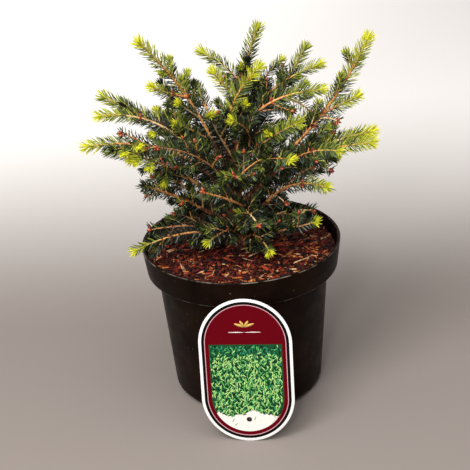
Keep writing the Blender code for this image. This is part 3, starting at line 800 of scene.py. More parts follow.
@dataclass
class PlantLabel:
    """The plant label: a card with round ends that leans on the pot, with a generic leaf print."""

    pot: Pot
    width: float = 77.0 * MM
    length: float = 124.0 * MM
    thickness: float = 0.8 * MM
    foot_y: float = -105.0 * MM
    centre_x: float = -4.0 * MM
    hole_radius: float = 2.3 * MM
    hole_up: float = 19.0 * MM
    gap: float = 0.3 * MM
    turn: float = radians(-8.0)
    roll: float = radians(1.0)
    lean_rounds: int = 20
    margin: float = 2.4 * MM
    black_line: float = 2.4 * MM
    pink_line: float = 0.6 * MM
    panel_inset: float = 8.5 * MM
    panel_from_top: float = 39.0 * MM
    panel_raise: float = 0.05 * MM
    print_raise: float = 0.03 * MM
    outline_steps: int = 96
    leaf_length: float = 4.0 * MM
    leaf_width: float = 0.95 * MM
    sprig_step: float = 2.35 * MM
    field_top: float = 12.0 * MM
    field_foot: float = -37.5 * MM
    field_wave: float = 2.2 * MM
    wave_length: float = 5.6 * MM
    wave_start: float = 0.8
    ripple_length: float = 2.3 * MM
    ripple_share: float = 0.35
    wave_steps: int = 40
    foot_room: float = 1.5 * MM
    foot_share: float = 0.04
    hedge_wave: float = 7.0 * MM
    light_patch: float = 9.0 * MM
    blade_room: float = 0.5 * MM
    blade_spread: float = 42.0
    blade_sizes: tuple[float, float] = (0.6, 1.1)
    sprig_drop: float = 24.0 * MM
    sprig_leaves: tuple[tuple[float, float], ...] = ((0.35, 9.0), (1.0, 6.5))
    sprig_width: float = 2.4
    rule_drop: float = 4.5 * MM
    rule_reach: float = 14.0 * MM
    rule_width: float = 0.9
    seed: int = 5

    def lean(self) -> float:
        """The card's lean from upright, at which its back is a gap clear of the pot's collar."""
        pot = self.pot
        foot = self.centre_x * sin(self.turn) - self.foot_y * cos(self.turn)
        lean = 0.0
        for _ in range(self.lean_rounds):
            share = (self.length * cos(lean) - pot.height + pot.collar_height) / pot.collar_height
            collar = pot.collar_foot_radius + (pot.rim_radius - pot.collar_foot_radius) * share
            lean = math.asin((foot - self.thickness - self.gap - collar) / self.length)
        return lean

    def stand(self) -> Matrix:
        """The turn and move that stand the flat card in its place."""
        lean = self.lean()
        middle = self.length / 2.0
        back = Vector((0.0, middle * sin(lean) + self.thickness / 2.0, 0.0))
        height = middle * cos(lean) + self.thickness / 2.0 * sin(lean)
        foot = Vector((self.centre_x, self.foot_y, height))
        turn = Matrix.Rotation(self.turn, 4, "Z")
        leant = Matrix.Rotation(math.pi / 2.0 - lean, 4, "X") @ Matrix.Rotation(self.roll, 4, "Z")
        return Matrix.Translation(foot + turn @ back) @ turn @ leant

    def stadium(self, inset: float, level: float, cut: Optional[float] = None) -> BMesh:
        """A flat face with round ends, some way inside the card's outline.

        Args:
            inset: how far inside the outline it is.
            level: its height over the card's middle plane.
            cut: the place along the card above which it is cut off straight.

        Returns:
            The face as a bmesh.
        """
        shape = bmesh.new()
        radius = self.width / 2.0 - inset
        straight = self.length / 2.0 - self.width / 2.0
        bmesh.ops.create_circle(shape, cap_ends=True, segments=self.outline_steps, radius=radius)
        for vertex in shape.verts:
            vertex.co.y += math.copysign(straight, vertex.co.y) if abs(vertex.co.y) > WELD else straight
            vertex.co.z = level
        if cut is not None:
            split(shape, (0.0, cut, 0.0), (0.0, 1.0, 0.0), clear=True)
        return shape

    def card(self) -> Mesh:
        """The card with its printed border, as rings inset on its front face."""
        shape = self.stadium(0.0, -self.thickness / 2.0)
        thickened(shape, self.thickness)
        front = max(shape.faces, key=lambda face: face.calc_center_median().z)
        rings = ((self.margin, Ink.BLACK), (self.black_line, Ink.PINK), (self.pink_line, Ink.RED))
        for width, ink in rings:
            bmesh.ops.inset_individual(shape, faces=[front], thickness=width, use_even_offset=True)
            front.material_index = ink.number()
        rim = [
            edge for edge in shape.edges
            if len(edge.link_faces) == 2 and edge.calc_face_angle(0.0) > 1.0
        ]
        rounded(shape, rim, 0.15 * MM, 2)
        return meshed(shape, "label_card")

    def panel(self) -> Mesh:
        """The printed panel, straight above and round below: dark, with a pale foot."""
        level = self.thickness / 2.0 + self.panel_raise
        shape = self.stadium(self.panel_inset, level, self.length / 2.0 - self.panel_from_top)
        split(shape, (0.0, self.field_foot, 0.0), (0.0, 1.0, 0.0))
        for face in shape.faces:
            above = face.calc_center_median().y > self.field_foot
            face.material_index = (Ink.HEDGE if above else Ink.CREAM).number()
        foot = [edge for edge in shape.edges if len(edge.link_faces) == 2]
        grown = bmesh.ops.subdivide_edges(shape, edges=foot, cuts=self.wave_steps)
        for item in grown["geom_inner"]:
            if isinstance(item, BMVert):
                item.co.y += self.wave(item.co.x)
        thickened(shape, -2.0 * self.panel_raise)
        return meshed(shape, "label_panel")

    def leaf_template(self) -> Template:
        """A thin pointed leaf of unit length, as it is printed."""
        shape = bmesh.new()
        bmesh.ops.create_circle(shape, cap_ends=True, segments=8, radius=0.5)
        for vertex in shape.verts:
            vertex.co.y *= 1.0 - 1.2 * abs(vertex.co.x) ** 1.5
            vertex.co.x += 0.5
        thickened(shape, 1.0)
        return Template.of(shape)

    def in_panel(self, x: float, y: float, room: float) -> bool:
        """Whether a place on the card is inside the panel and clear of the hole."""
        radius = self.width / 2.0 - self.panel_inset - room
        straight = self.length / 2.0 - self.width / 2.0
        below = max(0.0, -straight - y)
        inside = hypot(x, below) < radius and y < self.length / 2.0 - self.panel_from_top - room
        hole_y = self.hole_up - self.length / 2.0
        return inside and hypot(x, y - hole_y) > self.hole_radius + room

    def leaves(self) -> dict[Ink, Swarm]:
        """A field of small blades over the panel, darker along its top and thinning out at its foot."""
        rng = random.Random(self.seed)
        template = self.leaf_template()
        inks = (Ink.SHADE_LEAF, Ink.TEAL_LEAF, Ink.LEAF, Ink.PALE_LEAF)
        swarms = {ink: Swarm([template]) for ink in inks + (Ink.GOLD, Ink.CREAM)}
        level = self.thickness / 2.0 + self.panel_raise
        rows = round((self.length - self.panel_from_top) / self.sprig_step)
        columns = round(self.width / self.sprig_step / 2.0)
        for layer, ink in enumerate(inks):
            for row in range(rows):
                for column in range(-columns, columns + 1):
                    x = (column + 0.5 * (row % 2) + rng.uniform(-0.5, 0.5)) * self.sprig_step
                    y = (row + rng.uniform(-0.5, 0.5)) * self.sprig_step - self.length / 2.0
                    if rng.random() > self.share(ink, x, y):
                        continue
                    angle = radians(90.0 + rng.gauss(0.0, self.blade_spread))
                    along = compass(angle)
                    size = self.leaf_length * rng.uniform(*self.blade_sizes)
                    tip = Vector((x, y, 0.0)) + along * size
                    if self.in_panel(x, y, self.blade_room) and self.in_panel(tip.x, tip.y, self.blade_room):
                        origin = Vector((x, y, level + layer * self.print_raise / 4.0))
                        across = UP.cross(along) * self.leaf_width
                        swarms[ink].add(0, along * size, across, UP * self.print_raise, origin)
        self.add_ornament(swarms)
        return swarms

    def wave(self, x: float) -> float:
        """How far the field's foot runs above or below its level at a place across the panel."""
        ripple = self.ripple_share * sin(x / self.ripple_length)
        return self.field_wave * (sin(x / self.wave_length + self.wave_start) + ripple)

    def share(self, ink: Ink, x: float, y: float) -> float:
        """How often a blade of an ink is printed at a place on the panel."""
        if y < self.field_foot + self.wave(x) - self.foot_room:
            return self.foot_share if ink is Ink.LEAF else 0.0
        if y > self.field_top + 0.5 * self.field_wave * sin(x / self.hedge_wave):
            return HEDGE_SHARES[ink]
        light = 0.5 + 0.6 * noise.noise(Vector((x, y, 0.0)) / self.light_patch)
        return FIELD_SHARES.get(ink, 1.3 * light)

    def add_ornament(self, swarms: dict[Ink, Swarm]) -> None:
        """A small pair of leaves and a rule in the upper field, where a label has its name."""
        level = self.thickness / 2.0
        raised = UP * self.print_raise
        root = Vector((0.0, self.length / 2.0 - self.sprig_drop, level))
        for side in (-1.0, 1.0):
            for angle, size in self.sprig_leaves:
                along = Vector((side * cos(angle), sin(angle), 0.0))
                across = UP.cross(along) * self.sprig_width * MM
                swarms[Ink.GOLD].add(0, along * size * MM, across, raised, root)
            reach = Vector((side * self.rule_reach, 0.0, 0.0))
            across = UP.cross(reach.normalized()) * self.rule_width * MM
            place = Vector((0.0, root.y - self.rule_drop, level))
            swarms[Ink.CREAM].add(0, reach, across, raised, place)

    def build(self) -> None:
        """Join the card, its panel and its print, cut the hole, and stand it by the pot."""
        materials = []
        for ink in Ink:
            finish = PrintedCard(f"Printed card {ink.name.lower()}", (ink.value, ink.thicker()))
            materials.append(finish.material())
        stand = self.stand()
        hole = bmesh.new()
        hole_place = Matrix.Translation((0.0, self.hole_up - self.length / 2.0, 0.0))
        bmesh.ops.create_cone(
            hole, cap_ends=True, segments=40, radius1=self.hole_radius, radius2=self.hole_radius,
            depth=4.0 * self.thickness, matrix=hole_place,
        )
        cutter = linked("hole_cutter", meshed(hole, "hole_cutter"))
        for name, mesh in (("label_card", self.card()), ("label_panel", self.panel())):
            for material in materials:
                mesh.materials.append(material)
            finished = cut_out(mesh, cutter)
            finished.transform(stand)
            smooth_by_angle(finished, 30.0)
            make_piece(name, finished, [], ["plant_label"] if name == "label_card" else [])
        bpy.data.objects.remove(cutter)
        for ink, swarm in self.leaves().items():
            name = ink.name.lower()
            mesh = swarm.mesh(name)
            mesh.transform(stand)
            make_piece(f"label_print_{name}", mesh, [materials[ink.number()]])


@dataclass
class Path:
    """A smooth run from one place to another that bows over its chord."""

    start: Vector
    end: Vector
    arch: float = 0.0
    swing: float = 0.0

    def __post_init__(self) -> None:
        """Work out the middle corner of the run."""
        chord = self.end - self.start
        level = UP.cross(chord)
        side = level.normalized() if level.length > WELD else Vector((1.0, 0.0, 0.0))
        over = chord.normalized().cross(side)
        self.middle = (self.start + self.end) / 2.0 + 2.0 * (over * self.arch + side * self.swing)

    def at(self, share: float) -> Vector:
        """The place at a share of the run."""
        rest = 1.0 - share
        return self.start * rest * rest + self.middle * 2.0 * rest * share + self.end * share * share

    def along(self, share: float) -> Vector:
        """The direction of the run at a share of it."""
        rest = 1.0 - share
        return ((self.middle - self.start) * rest + (self.end - self.middle) * share).normalized()

    def length(self, first: float = 0.0, last: float = 1.0) -> float:
        """The length of the run between two shares of it."""
        places = [self.at(first + (last - first) * index / 12) for index in range(13)]
        return sum((b - a).length for a, b in zip(places, places[1:]))

    def points(self, step: float, first: float = 0.0, last: float = 1.0) -> list[Vector]:
        """Places about one step apart between two shares of the run."""
        count = max(1, round(self.length(first, last) / step))
        return [self.at(first + (last - first) * index / count) for index in range(count + 1)]


class Tip(Enum):
    """How a shoot ends: the level of its newest needles on the scale of tones, and whether a bud shows."""

    LIME = (0.0, False)
    FRESH = (1.7, False)
    GREEN = (3.7, False)
    DARK = (4.8, False)
    BUD = (4.4, True)

    def budded(self) -> bool:
        """Whether a bud shows."""
        return self.value[1]


LIME, FRESH, GREEN, DARK, BUD = Tip


@dataclass(frozen=True)
class Limb:
    """One limb: its height on the trunk in millimetres, its tip as azimuth, reach and height, its arch
    and swing, the share without needles, the bough's thickness, its side shoots, how it ends, and how
    long its newest growth is."""

    name: str
    start: float
    azimuth: float
    reach: float
    height: float
    arch: float
    swing: float
    bare: float
    thick: float
    sides: int
    tip: Tip
    young: float


LIMBS = tuple(Limb(*row) for row in (
    ("left_leader", 168, 197, 73, 321, 12, -8, 0.36, 3.0, 4, LIME, 66),
    ("left_pair", 181, 185, 103, 274, 11, 12, 0.40, 2.8, 2, FRESH, 52),
    ("left_far", 165, 207, 129, 252, 22, 1, 0.38, 2.8, 4, LIME, 44),
    ("left_middle", 169, 222, 82, 246, 12, 4, 0.40, 0.0, 2, BUD, 8),
    ("left_dark", 145, 219, 95, 216, 3, -8, 0.38, 2.4, 2, DARK, 14),
    ("left_low", 137, 201, 79, 163, 9, 7, 0.30, 0.0, 2, BUD, 8),
    ("left_lowest", 131, 206, 96, 152, 16, 8, 0.36, 0.0, 1, LIME, 18),
    ("top_left", 208, 132, 32, 296, 23, -12, 0.42, 0.0, 2, FRESH, 34),
    ("top", 219, 2, 23, 320, 4, 3, 0.28, 2.6, 2, FRESH, 44),
    ("right_leader", 178, 342, 113, 317, -12, -1, 0.40, 3.0, 4, LIME, 88),
    ("right_pair", 160, 340, 115, 242, 14, -7, 0.42, 2.8, 2, LIME, 56),
    ("right_bright", 129, 316, 96, 208, 20, 10, 0.38, 2.4, 2, LIME, 30),
    ("right_low", 138, 314, 86, 176, -2, 0, 0.36, 0.0, 2, LIME, 8),
    ("right_upper", 200, 342, 74, 274, 22, -5, 0.36, 0.0, 2, LIME, 40),
    ("right_front", 194, 309, 78, 261, 5, -2, 0.38, 0.0, 2, FRESH, 56),
    ("front_low", 130, 290, 64, 152, 10, 2, 0.30, 0.0, 1, LIME, 8),
    ("front_low_left", 134, 246, 64, 163, 9, 3, 0.32, 0.0, 2, LIME, 6),
    ("front_star", 168, 281, 76, 182, 3, 0, 0.36, 0.0, 2, BUD, 6),
    ("front_left", 162, 249, 76, 212, -1, 16, 0.38, 0.0, 2, BUD, 6),
    ("front_bud", 180, 268, 75, 226, 3, 2, 0.36, 0.0, 2, BUD, 6),
    ("front_right", 191, 299, 86, 237, 6, 2, 0.36, 0.0, 2, LIME, 12),
    ("front_upper", 207, 250, 52, 268, 5, -6, 0.36, 0.0, 2, LIME, 8),
    ("front_top", 205, 269, 51, 263, 3, 13, 0.34, 0.0, 2, LIME, 7),
    ("back_right_tall", 204, 36, 78, 286, -2, 1, 0.34, 2.4, 2, FRESH, 36),
    ("back_right_far", 194, 16, 75, 280, 23, -2, 0.36, 0.0, 2, LIME, 30),
    ("back_tall", 213, 56, 44, 262, 3, -1, 0.34, 0.0, 2, FRESH, 20),
    ("back_left_tall", 199, 118, 60, 256, 5, 4, 0.36, 2.6, 2, GREEN, 16),
    ("back_left_wide", 171, 153, 104, 240, 12, -5, 0.40, 2.8, 3, FRESH, 34),
    ("back_centre", 188, 84, 88, 241, 9, -2, 0.38, 2.8, 3, LIME, 34),
    ("back_right_wide", 174, 48, 100, 215, 8, 5, 0.40, 2.8, 3, LIME, 46),
    ("back_right_side", 157, 12, 114, 214, 15, 6, 0.38, 2.6, 3, LIME, 42),
    ("back_left_side", 147, 168, 108, 214, 14, -4, 0.38, 2.6, 3, FRESH, 40),
    ("back_left_mid", 160, 122, 108, 219, 13, 3, 0.38, 2.6, 3, LIME, 44),
    ("back_mid", 149, 86, 100, 200, 13, 3, 0.36, 0.0, 3, LIME, 26),
    ("back_right_low", 142, 42, 92, 184, 11, 5, 0.34, 0.0, 2, FRESH, 22),
    ("back_left_low", 136, 136, 90, 172, 11, 3, 0.34, 0.0, 2, LIME, 20),
    ("side_right_low", 134, 350, 62, 163, 8, 4, 0.34, 0.0, 2, BUD, 8),
))


@dataclass(frozen=True)
class Arm:
    """Another long shoot of a limb: the share that it leaves at, its tip, its arch and how it ends."""

    limb: str
    root: float
    azimuth: float
    reach: float
    height: float
    arch: float
    tip: Tip
    young: float


ARMS = tuple(Arm(*row) for row in (
    ("left_pair", 0.52, 201, 112, 270, 7, LIME, 34),
    ("left_far", 0.62, 219, 104, 242, 3, LIME, 20),
    ("right_pair", 0.50, 331, 121, 240, 3, LIME, 44),
    ("right_pair", 0.47, 319, 105, 239, 5, FRESH, 30),
    ("right_leader", 0.60, 338, 105, 272, 0, LIME, 34),
    ("left_leader", 0.62, 196, 65, 283, -1, LIME, 20),
    ("top_left", 0.40, 178, 13, 285, -1, LIME, 75),
    ("front_upper", 0.27, 340, 23, 290, 7, LIME, 95),
))

# Short shoots between the long ones, in the same terms
TUFTS = tuple(Arm(*row) for row in (
    ("left_leader", 0.78, 199, 57, 294, 0, FRESH, 9),
    ("left_leader", 0.62, 188, 40, 283, 0, FRESH, 8),
    ("left_leader", 0.48, 203, 47, 268, 0, LIME, 7),
    ("left_leader", 0.34, 199, 49, 250, 1, LIME, 14),
    ("left_pair", 0.60, 200, 68, 246, 0, LIME, 8),
    ("left_pair", 0.50, 178, 50, 262, 0, GREEN, 8),
    ("left_far", 0.84, 220, 113, 250, 0, LIME, 14),
    ("left_far", 0.80, 220, 99, 251, 0, LIME, 14),
    ("left_far", 0.70, 221, 104, 241, 0, LIME, 14),
    ("left_far", 0.62, 222, 92, 232, 0, LIME, 14),
    ("left_far", 0.55, 215, 72, 211, 0, LIME, 7),
    ("left_dark", 0.45, 219, 59, 189, 2, BUD, 5),
    ("left_dark", 0.35, 230, 45, 198, 2, BUD, 5),
    ("left_low", 0.50, 204, 58, 174, 2, BUD, 5),
    ("left_lowest", 0.55, 208, 77, 150, 2, LIME, 7),
    ("top", 0.20, 297, 22, 264, 0, LIME, 8),
    ("right_leader", 0.86, 341, 97, 305, 0, FRESH, 8),
    ("right_leader", 0.84, 343, 105, 300, 0, FRESH, 10),
    ("right_leader", 0.70, 338, 93, 287, 0, FRESH, 12),
    ("right_leader", 0.50, 337, 74, 264, 0, FRESH, 14),
    ("right_leader", 0.56, 339, 88, 250, 2, BUD, 5),
    ("right_pair", 0.62, 335, 87, 221, 2, LIME, 9),
    ("right_pair", 0.56, 333, 78, 216, 2, FRESH, 9),
    ("right_pair", 0.52, 333, 84, 211, 3, BUD, 5),
    ("right_bright", 0.60, 328, 72, 214, 2, BUD, 5),
    ("right_bright", 0.45, 318, 51, 182, 2, BUD, 5),
    ("right_upper", 0.75, 349, 65, 251, 2, BUD, 5),
    ("right_upper", 0.50, 337, 47, 256, 2, BUD, 5),
    ("front_bud", 0.50, 306, 50, 228, 3, BUD, 5),
    ("front_star", 0.50, 296, 35, 189, 1, DARK, 5),
    ("back_tall", 0.24, 38, 53, 282, 8, FRESH, 14),
    ("left_far", 0.70, 207, 100, 256, 1, BUD, 5),
    ("left_dark", 0.34, 213, 64, 190, 2, DARK, 5),
    ("right_pair", 0.58, 337, 80, 244, 2, FRESH, 8),
    ("right_upper", 0.42, 350, 59, 275, 0, FRESH, 10),
    ("back_right_wide", 0.36, 17, 42, 221, 2, DARK, 5),
    ("back_right_wide", 0.26, 9, 30, 210, 2, DARK, 5),
    ("right_pair", 0.42, 331, 62, 209, 2, DARK, 5),
    ("back_left_mid", 0.40, 150, 48, 228, 2, DARK, 5),
    ("top", 0.08, 150, 13, 257, 2, DARK, 5),
    ("right_bright", 0.62, 343, 70, 203, 2, DARK, 5),
    ("back_right_side", 0.55, 2, 76, 206, 2, DARK, 5),
))


# Limbs whose wood lies open to the light, with no finer shoot before it
OPEN_WOOD = (
    "left_leader", "left_far", "left_dark", "right_leader", "right_upper", "right_bright", "front_left",
)

# Places in millimetres, each with a radius, where finer shoots keep the crown open
OPENINGS = (
    (-66, -12, 268, 11), (-77, -33, 252, 12), (-92, -40, 254, 10), (-19, 38, 256, 10), (-24, 5, 261, 8),
    (3, 8, 290, 11), (4, 22, 288, 10), (39, 30, 264, 13), (58, -15, 259, 9), (50, -35, 188, 9),
    (-68, -44, 198, 10), (75, -22, 281, 9), (87, -27, 260, 7), (-67, -21, 171, 8), (56, -49, 156, 9),
    (38, -42, 146, 9), (-57, -33, 144, 7), (44, -28, 184, 7), (44, -1, 171, 7), (-72, -36, 142, 7),
    (-50, -8, 303, 8),
    (-38, -7, 293, 5), (52, -10, 266, 6), (41, 19, 289, 6), (60, -21, 257, 5), (56, -20, 266, 5),
)


@dataclass
class Shoot:
    """One needle-covered shoot: its path, where its wood and its needles start, how thick it is, how it
    ends, how long its newest growth is, its order, and whether its wood lies open to the light."""

    path: Path
    first: float
    bare: float
    thick: float
    tip: Tip
    young: float
    order: int = 0
    bright: bool = False
    samples: list[Vector] = field(default_factory=list)

    def __post_init__(self) -> None:
        """Work out places close together on the axis, for the room that others leave it."""
        self.samples = self.path.points(Growth.axis_sample, self.first)

    def level(self, distance: float) -> float:
        """The needles' level on the scale of tones at a distance in metres from the tip."""
        newest = self.tip.value[0]
        young = self.young * MM
        if distance < young:
            return newest + (max(newest, Growth.year_end) - newest) * (distance / young) ** 0.42
        return min(Growth.oldest, max(newest, Growth.second_year) + (distance - young) / Growth.ageing)


class Growth:
    """Sizes of the growth rule, the same as the solids follow, and where the light comes from: finer
    twigs and needles part to the left and right of it and leave the wood that faces it open."""

    first_seed = 1000
    axis_sample = 1.2 * MM
    bough_tip = 1.7 * MM
    bare_root = 3.5 * MM
    side_first = 0.05
    side_last_share = 0.83
    side_shift = 0.2
    side_rolls = (88.0, -88.0, 8.0, -60.0, 62.0)
    side_roll_span = 22.0
    side_spread = radians(46.0)
    spread_span = (0.8, 1.15)
    side_length = 25.0 * MM
    side_full_share = 1.35
    length_span = (0.75, 1.2)
    shortest_side = 9.0 * MM
    side_lift = 0.18
    side_arch_span = (-0.04, 0.10)
    core_clear = 4.4 * MM
    limb_clear = 1.3 * MM
    ground_clear = 1.2 * MM
    chip_layer = 1.3 * MM
    strong_thick = 1.35 * MM
    weak_thick = 1.05 * MM
    arm_thick = (1.1 * MM, 0.75 * MM)
    side_thick = 0.8 * MM
    lime_zone = 20.0
    lime_scale = 300.0
    stray_share = 0.04
    bud_share = 0.3
    side_lime = (LIME, 8.0)
    side_fresh = (FRESH, 12.0)
    side_stray = (LIME, 7.0)
    side_bud = (BUD, 5.0)
    side_green = (GREEN, 8.0)
    solid_shoot = 1.3 * MM
    bearer_length = 20.0 * MM
    inner_start = 0.15
    twig_first = 4.0 * MM
    twig_shift = 0.6
    twig_step = 7.5 * MM
    twig_step_span = (0.75, 1.3)
    twig_last = 9.0
    twig_overlap = 4.0
    twig_span = (10.0 * MM, 19.0 * MM)
    twig_rolls = (62.0, 138.0)
    twig_spreads = (36.0, 54.0)
    twig_lift = 0.12
    twig_least_share = 0.45
    twig_full_from = 60.0 * MM
    twig_arch_span = (-0.05, 0.08)
    twig_clear = 2.4 * MM
    twig_bare_root = 2.0 * MM
    twig_bare_most = 0.3
    twig_thick = 0.6 * MM
    twig_bud_share = 0.16
    twig_fresh = (FRESH, 10.0)
    twig_bud = (BUD, 4.0)
    twig_dark = (DARK, 6.0)
    fresh_end = 3.9
    year_end = 4.2
    second_year = 4.6
    oldest = 6.0
    ageing = 22.0 * MM
    window = Vector((0.0, -0.8, 0.6))
    window_clear = 4.0 * MM
    window_near = 2.5 * MM
    window_far = 60.0 * MM
    open_shares = [index / 60.0 for index in range(14, 50)]


class Neighbours:
    """A search tree of places, with the radius round each that is taken."""

    def __init__(self, places: Sequence[tuple[Vector, float]]) -> None:
        """Put the places and their radii in the tree."""
        self.radii = [radius for _, radius in places]
        self.tree = KDTree(len(places))
        for index, (place, _) in enumerate(places):
            self.tree.insert(place, index)
        self.tree.balance()

    def distance(self, point: Vector) -> float:
        """The distance from a point to the nearest place's surface."""
        _, index, distance = self.tree.find(point)
        return distance - self.radii[index]


@dataclass
class Trunk:
    """The trunk, from the flat cut at the growing medium to where the shoots take over."""

    foot: float = 119.0 * MM
    top: float = 224.0 * MM
    lean: Vector = field(default_factory=lambda: Vector((1.0, 2.0, 0.0)) * MM)
    bend: Vector = field(default_factory=lambda: Vector((-2.5, 1.5, 0.0)) * MM)
    foot_radius: float = 7.2 * MM
    top_radius: float = 3.6 * MM
    flare: float = 4.2 * MM
    flare_height: float = 9.0 * MM

    def point(self, height: float) -> Vector:
        """The trunk's axis at a height."""
        share = (height - self.foot) / (self.top - self.foot)
        return self.lean * share + self.bend * sin(math.pi * share) + UP * height

    def radius(self, height: float) -> float:
        """The trunk's radius at a height, with the flare over its roots."""
        share = (height - self.foot) / (self.top - self.foot)
        taper = self.foot_radius + (self.top_radius - self.foot_radius) * share
        return taper + self.flare * math.exp(-(height - self.foot) / self.flare_height)

    def places(self, step: float) -> list[tuple[Vector, float]]:
        """Places on the axis about a step apart, with the radius at each."""
        count = round((self.top - self.foot) / step)
        heights = [self.foot + (self.top - self.foot) * index / count for index in range(count + 1)]
        return [(self.point(height), self.radius(height)) for height in heights]


def polar(azimuth: float, reach: float, height: float) -> Vector:
    """A place from its azimuth in degrees and its reach and height in millimetres."""
    angle = radians(azimuth)
    return Vector((reach * cos(angle), reach * sin(angle), height)) * MM


def axes_of(shoots: Iterable[Shoot]) -> Neighbours:
    """The axes of some shoots as places that others keep clear of."""
    return Neighbours([(place, 0.0) for shoot in shoots for place in shoot.samples])


def spread_from(
    along: Vector, side: Vector, over: Vector, roll: float, spread: float, lift: float
) -> Vector:
    """The heading of a shoot that leaves an axis.

    Args:
        along: the axis's direction.
        side: the direction to its side.
        over: the direction over it.
        roll: the turn from over it to its side, in radians.
        spread: the angle off the axis, in radians.
        lift: how much it turns up.

    Returns:
        The heading, of unit length.
    """
    outward = over * cos(roll) + side * sin(roll)
    return (along * cos(spread) + outward * sin(spread) + UP * lift).normalized()


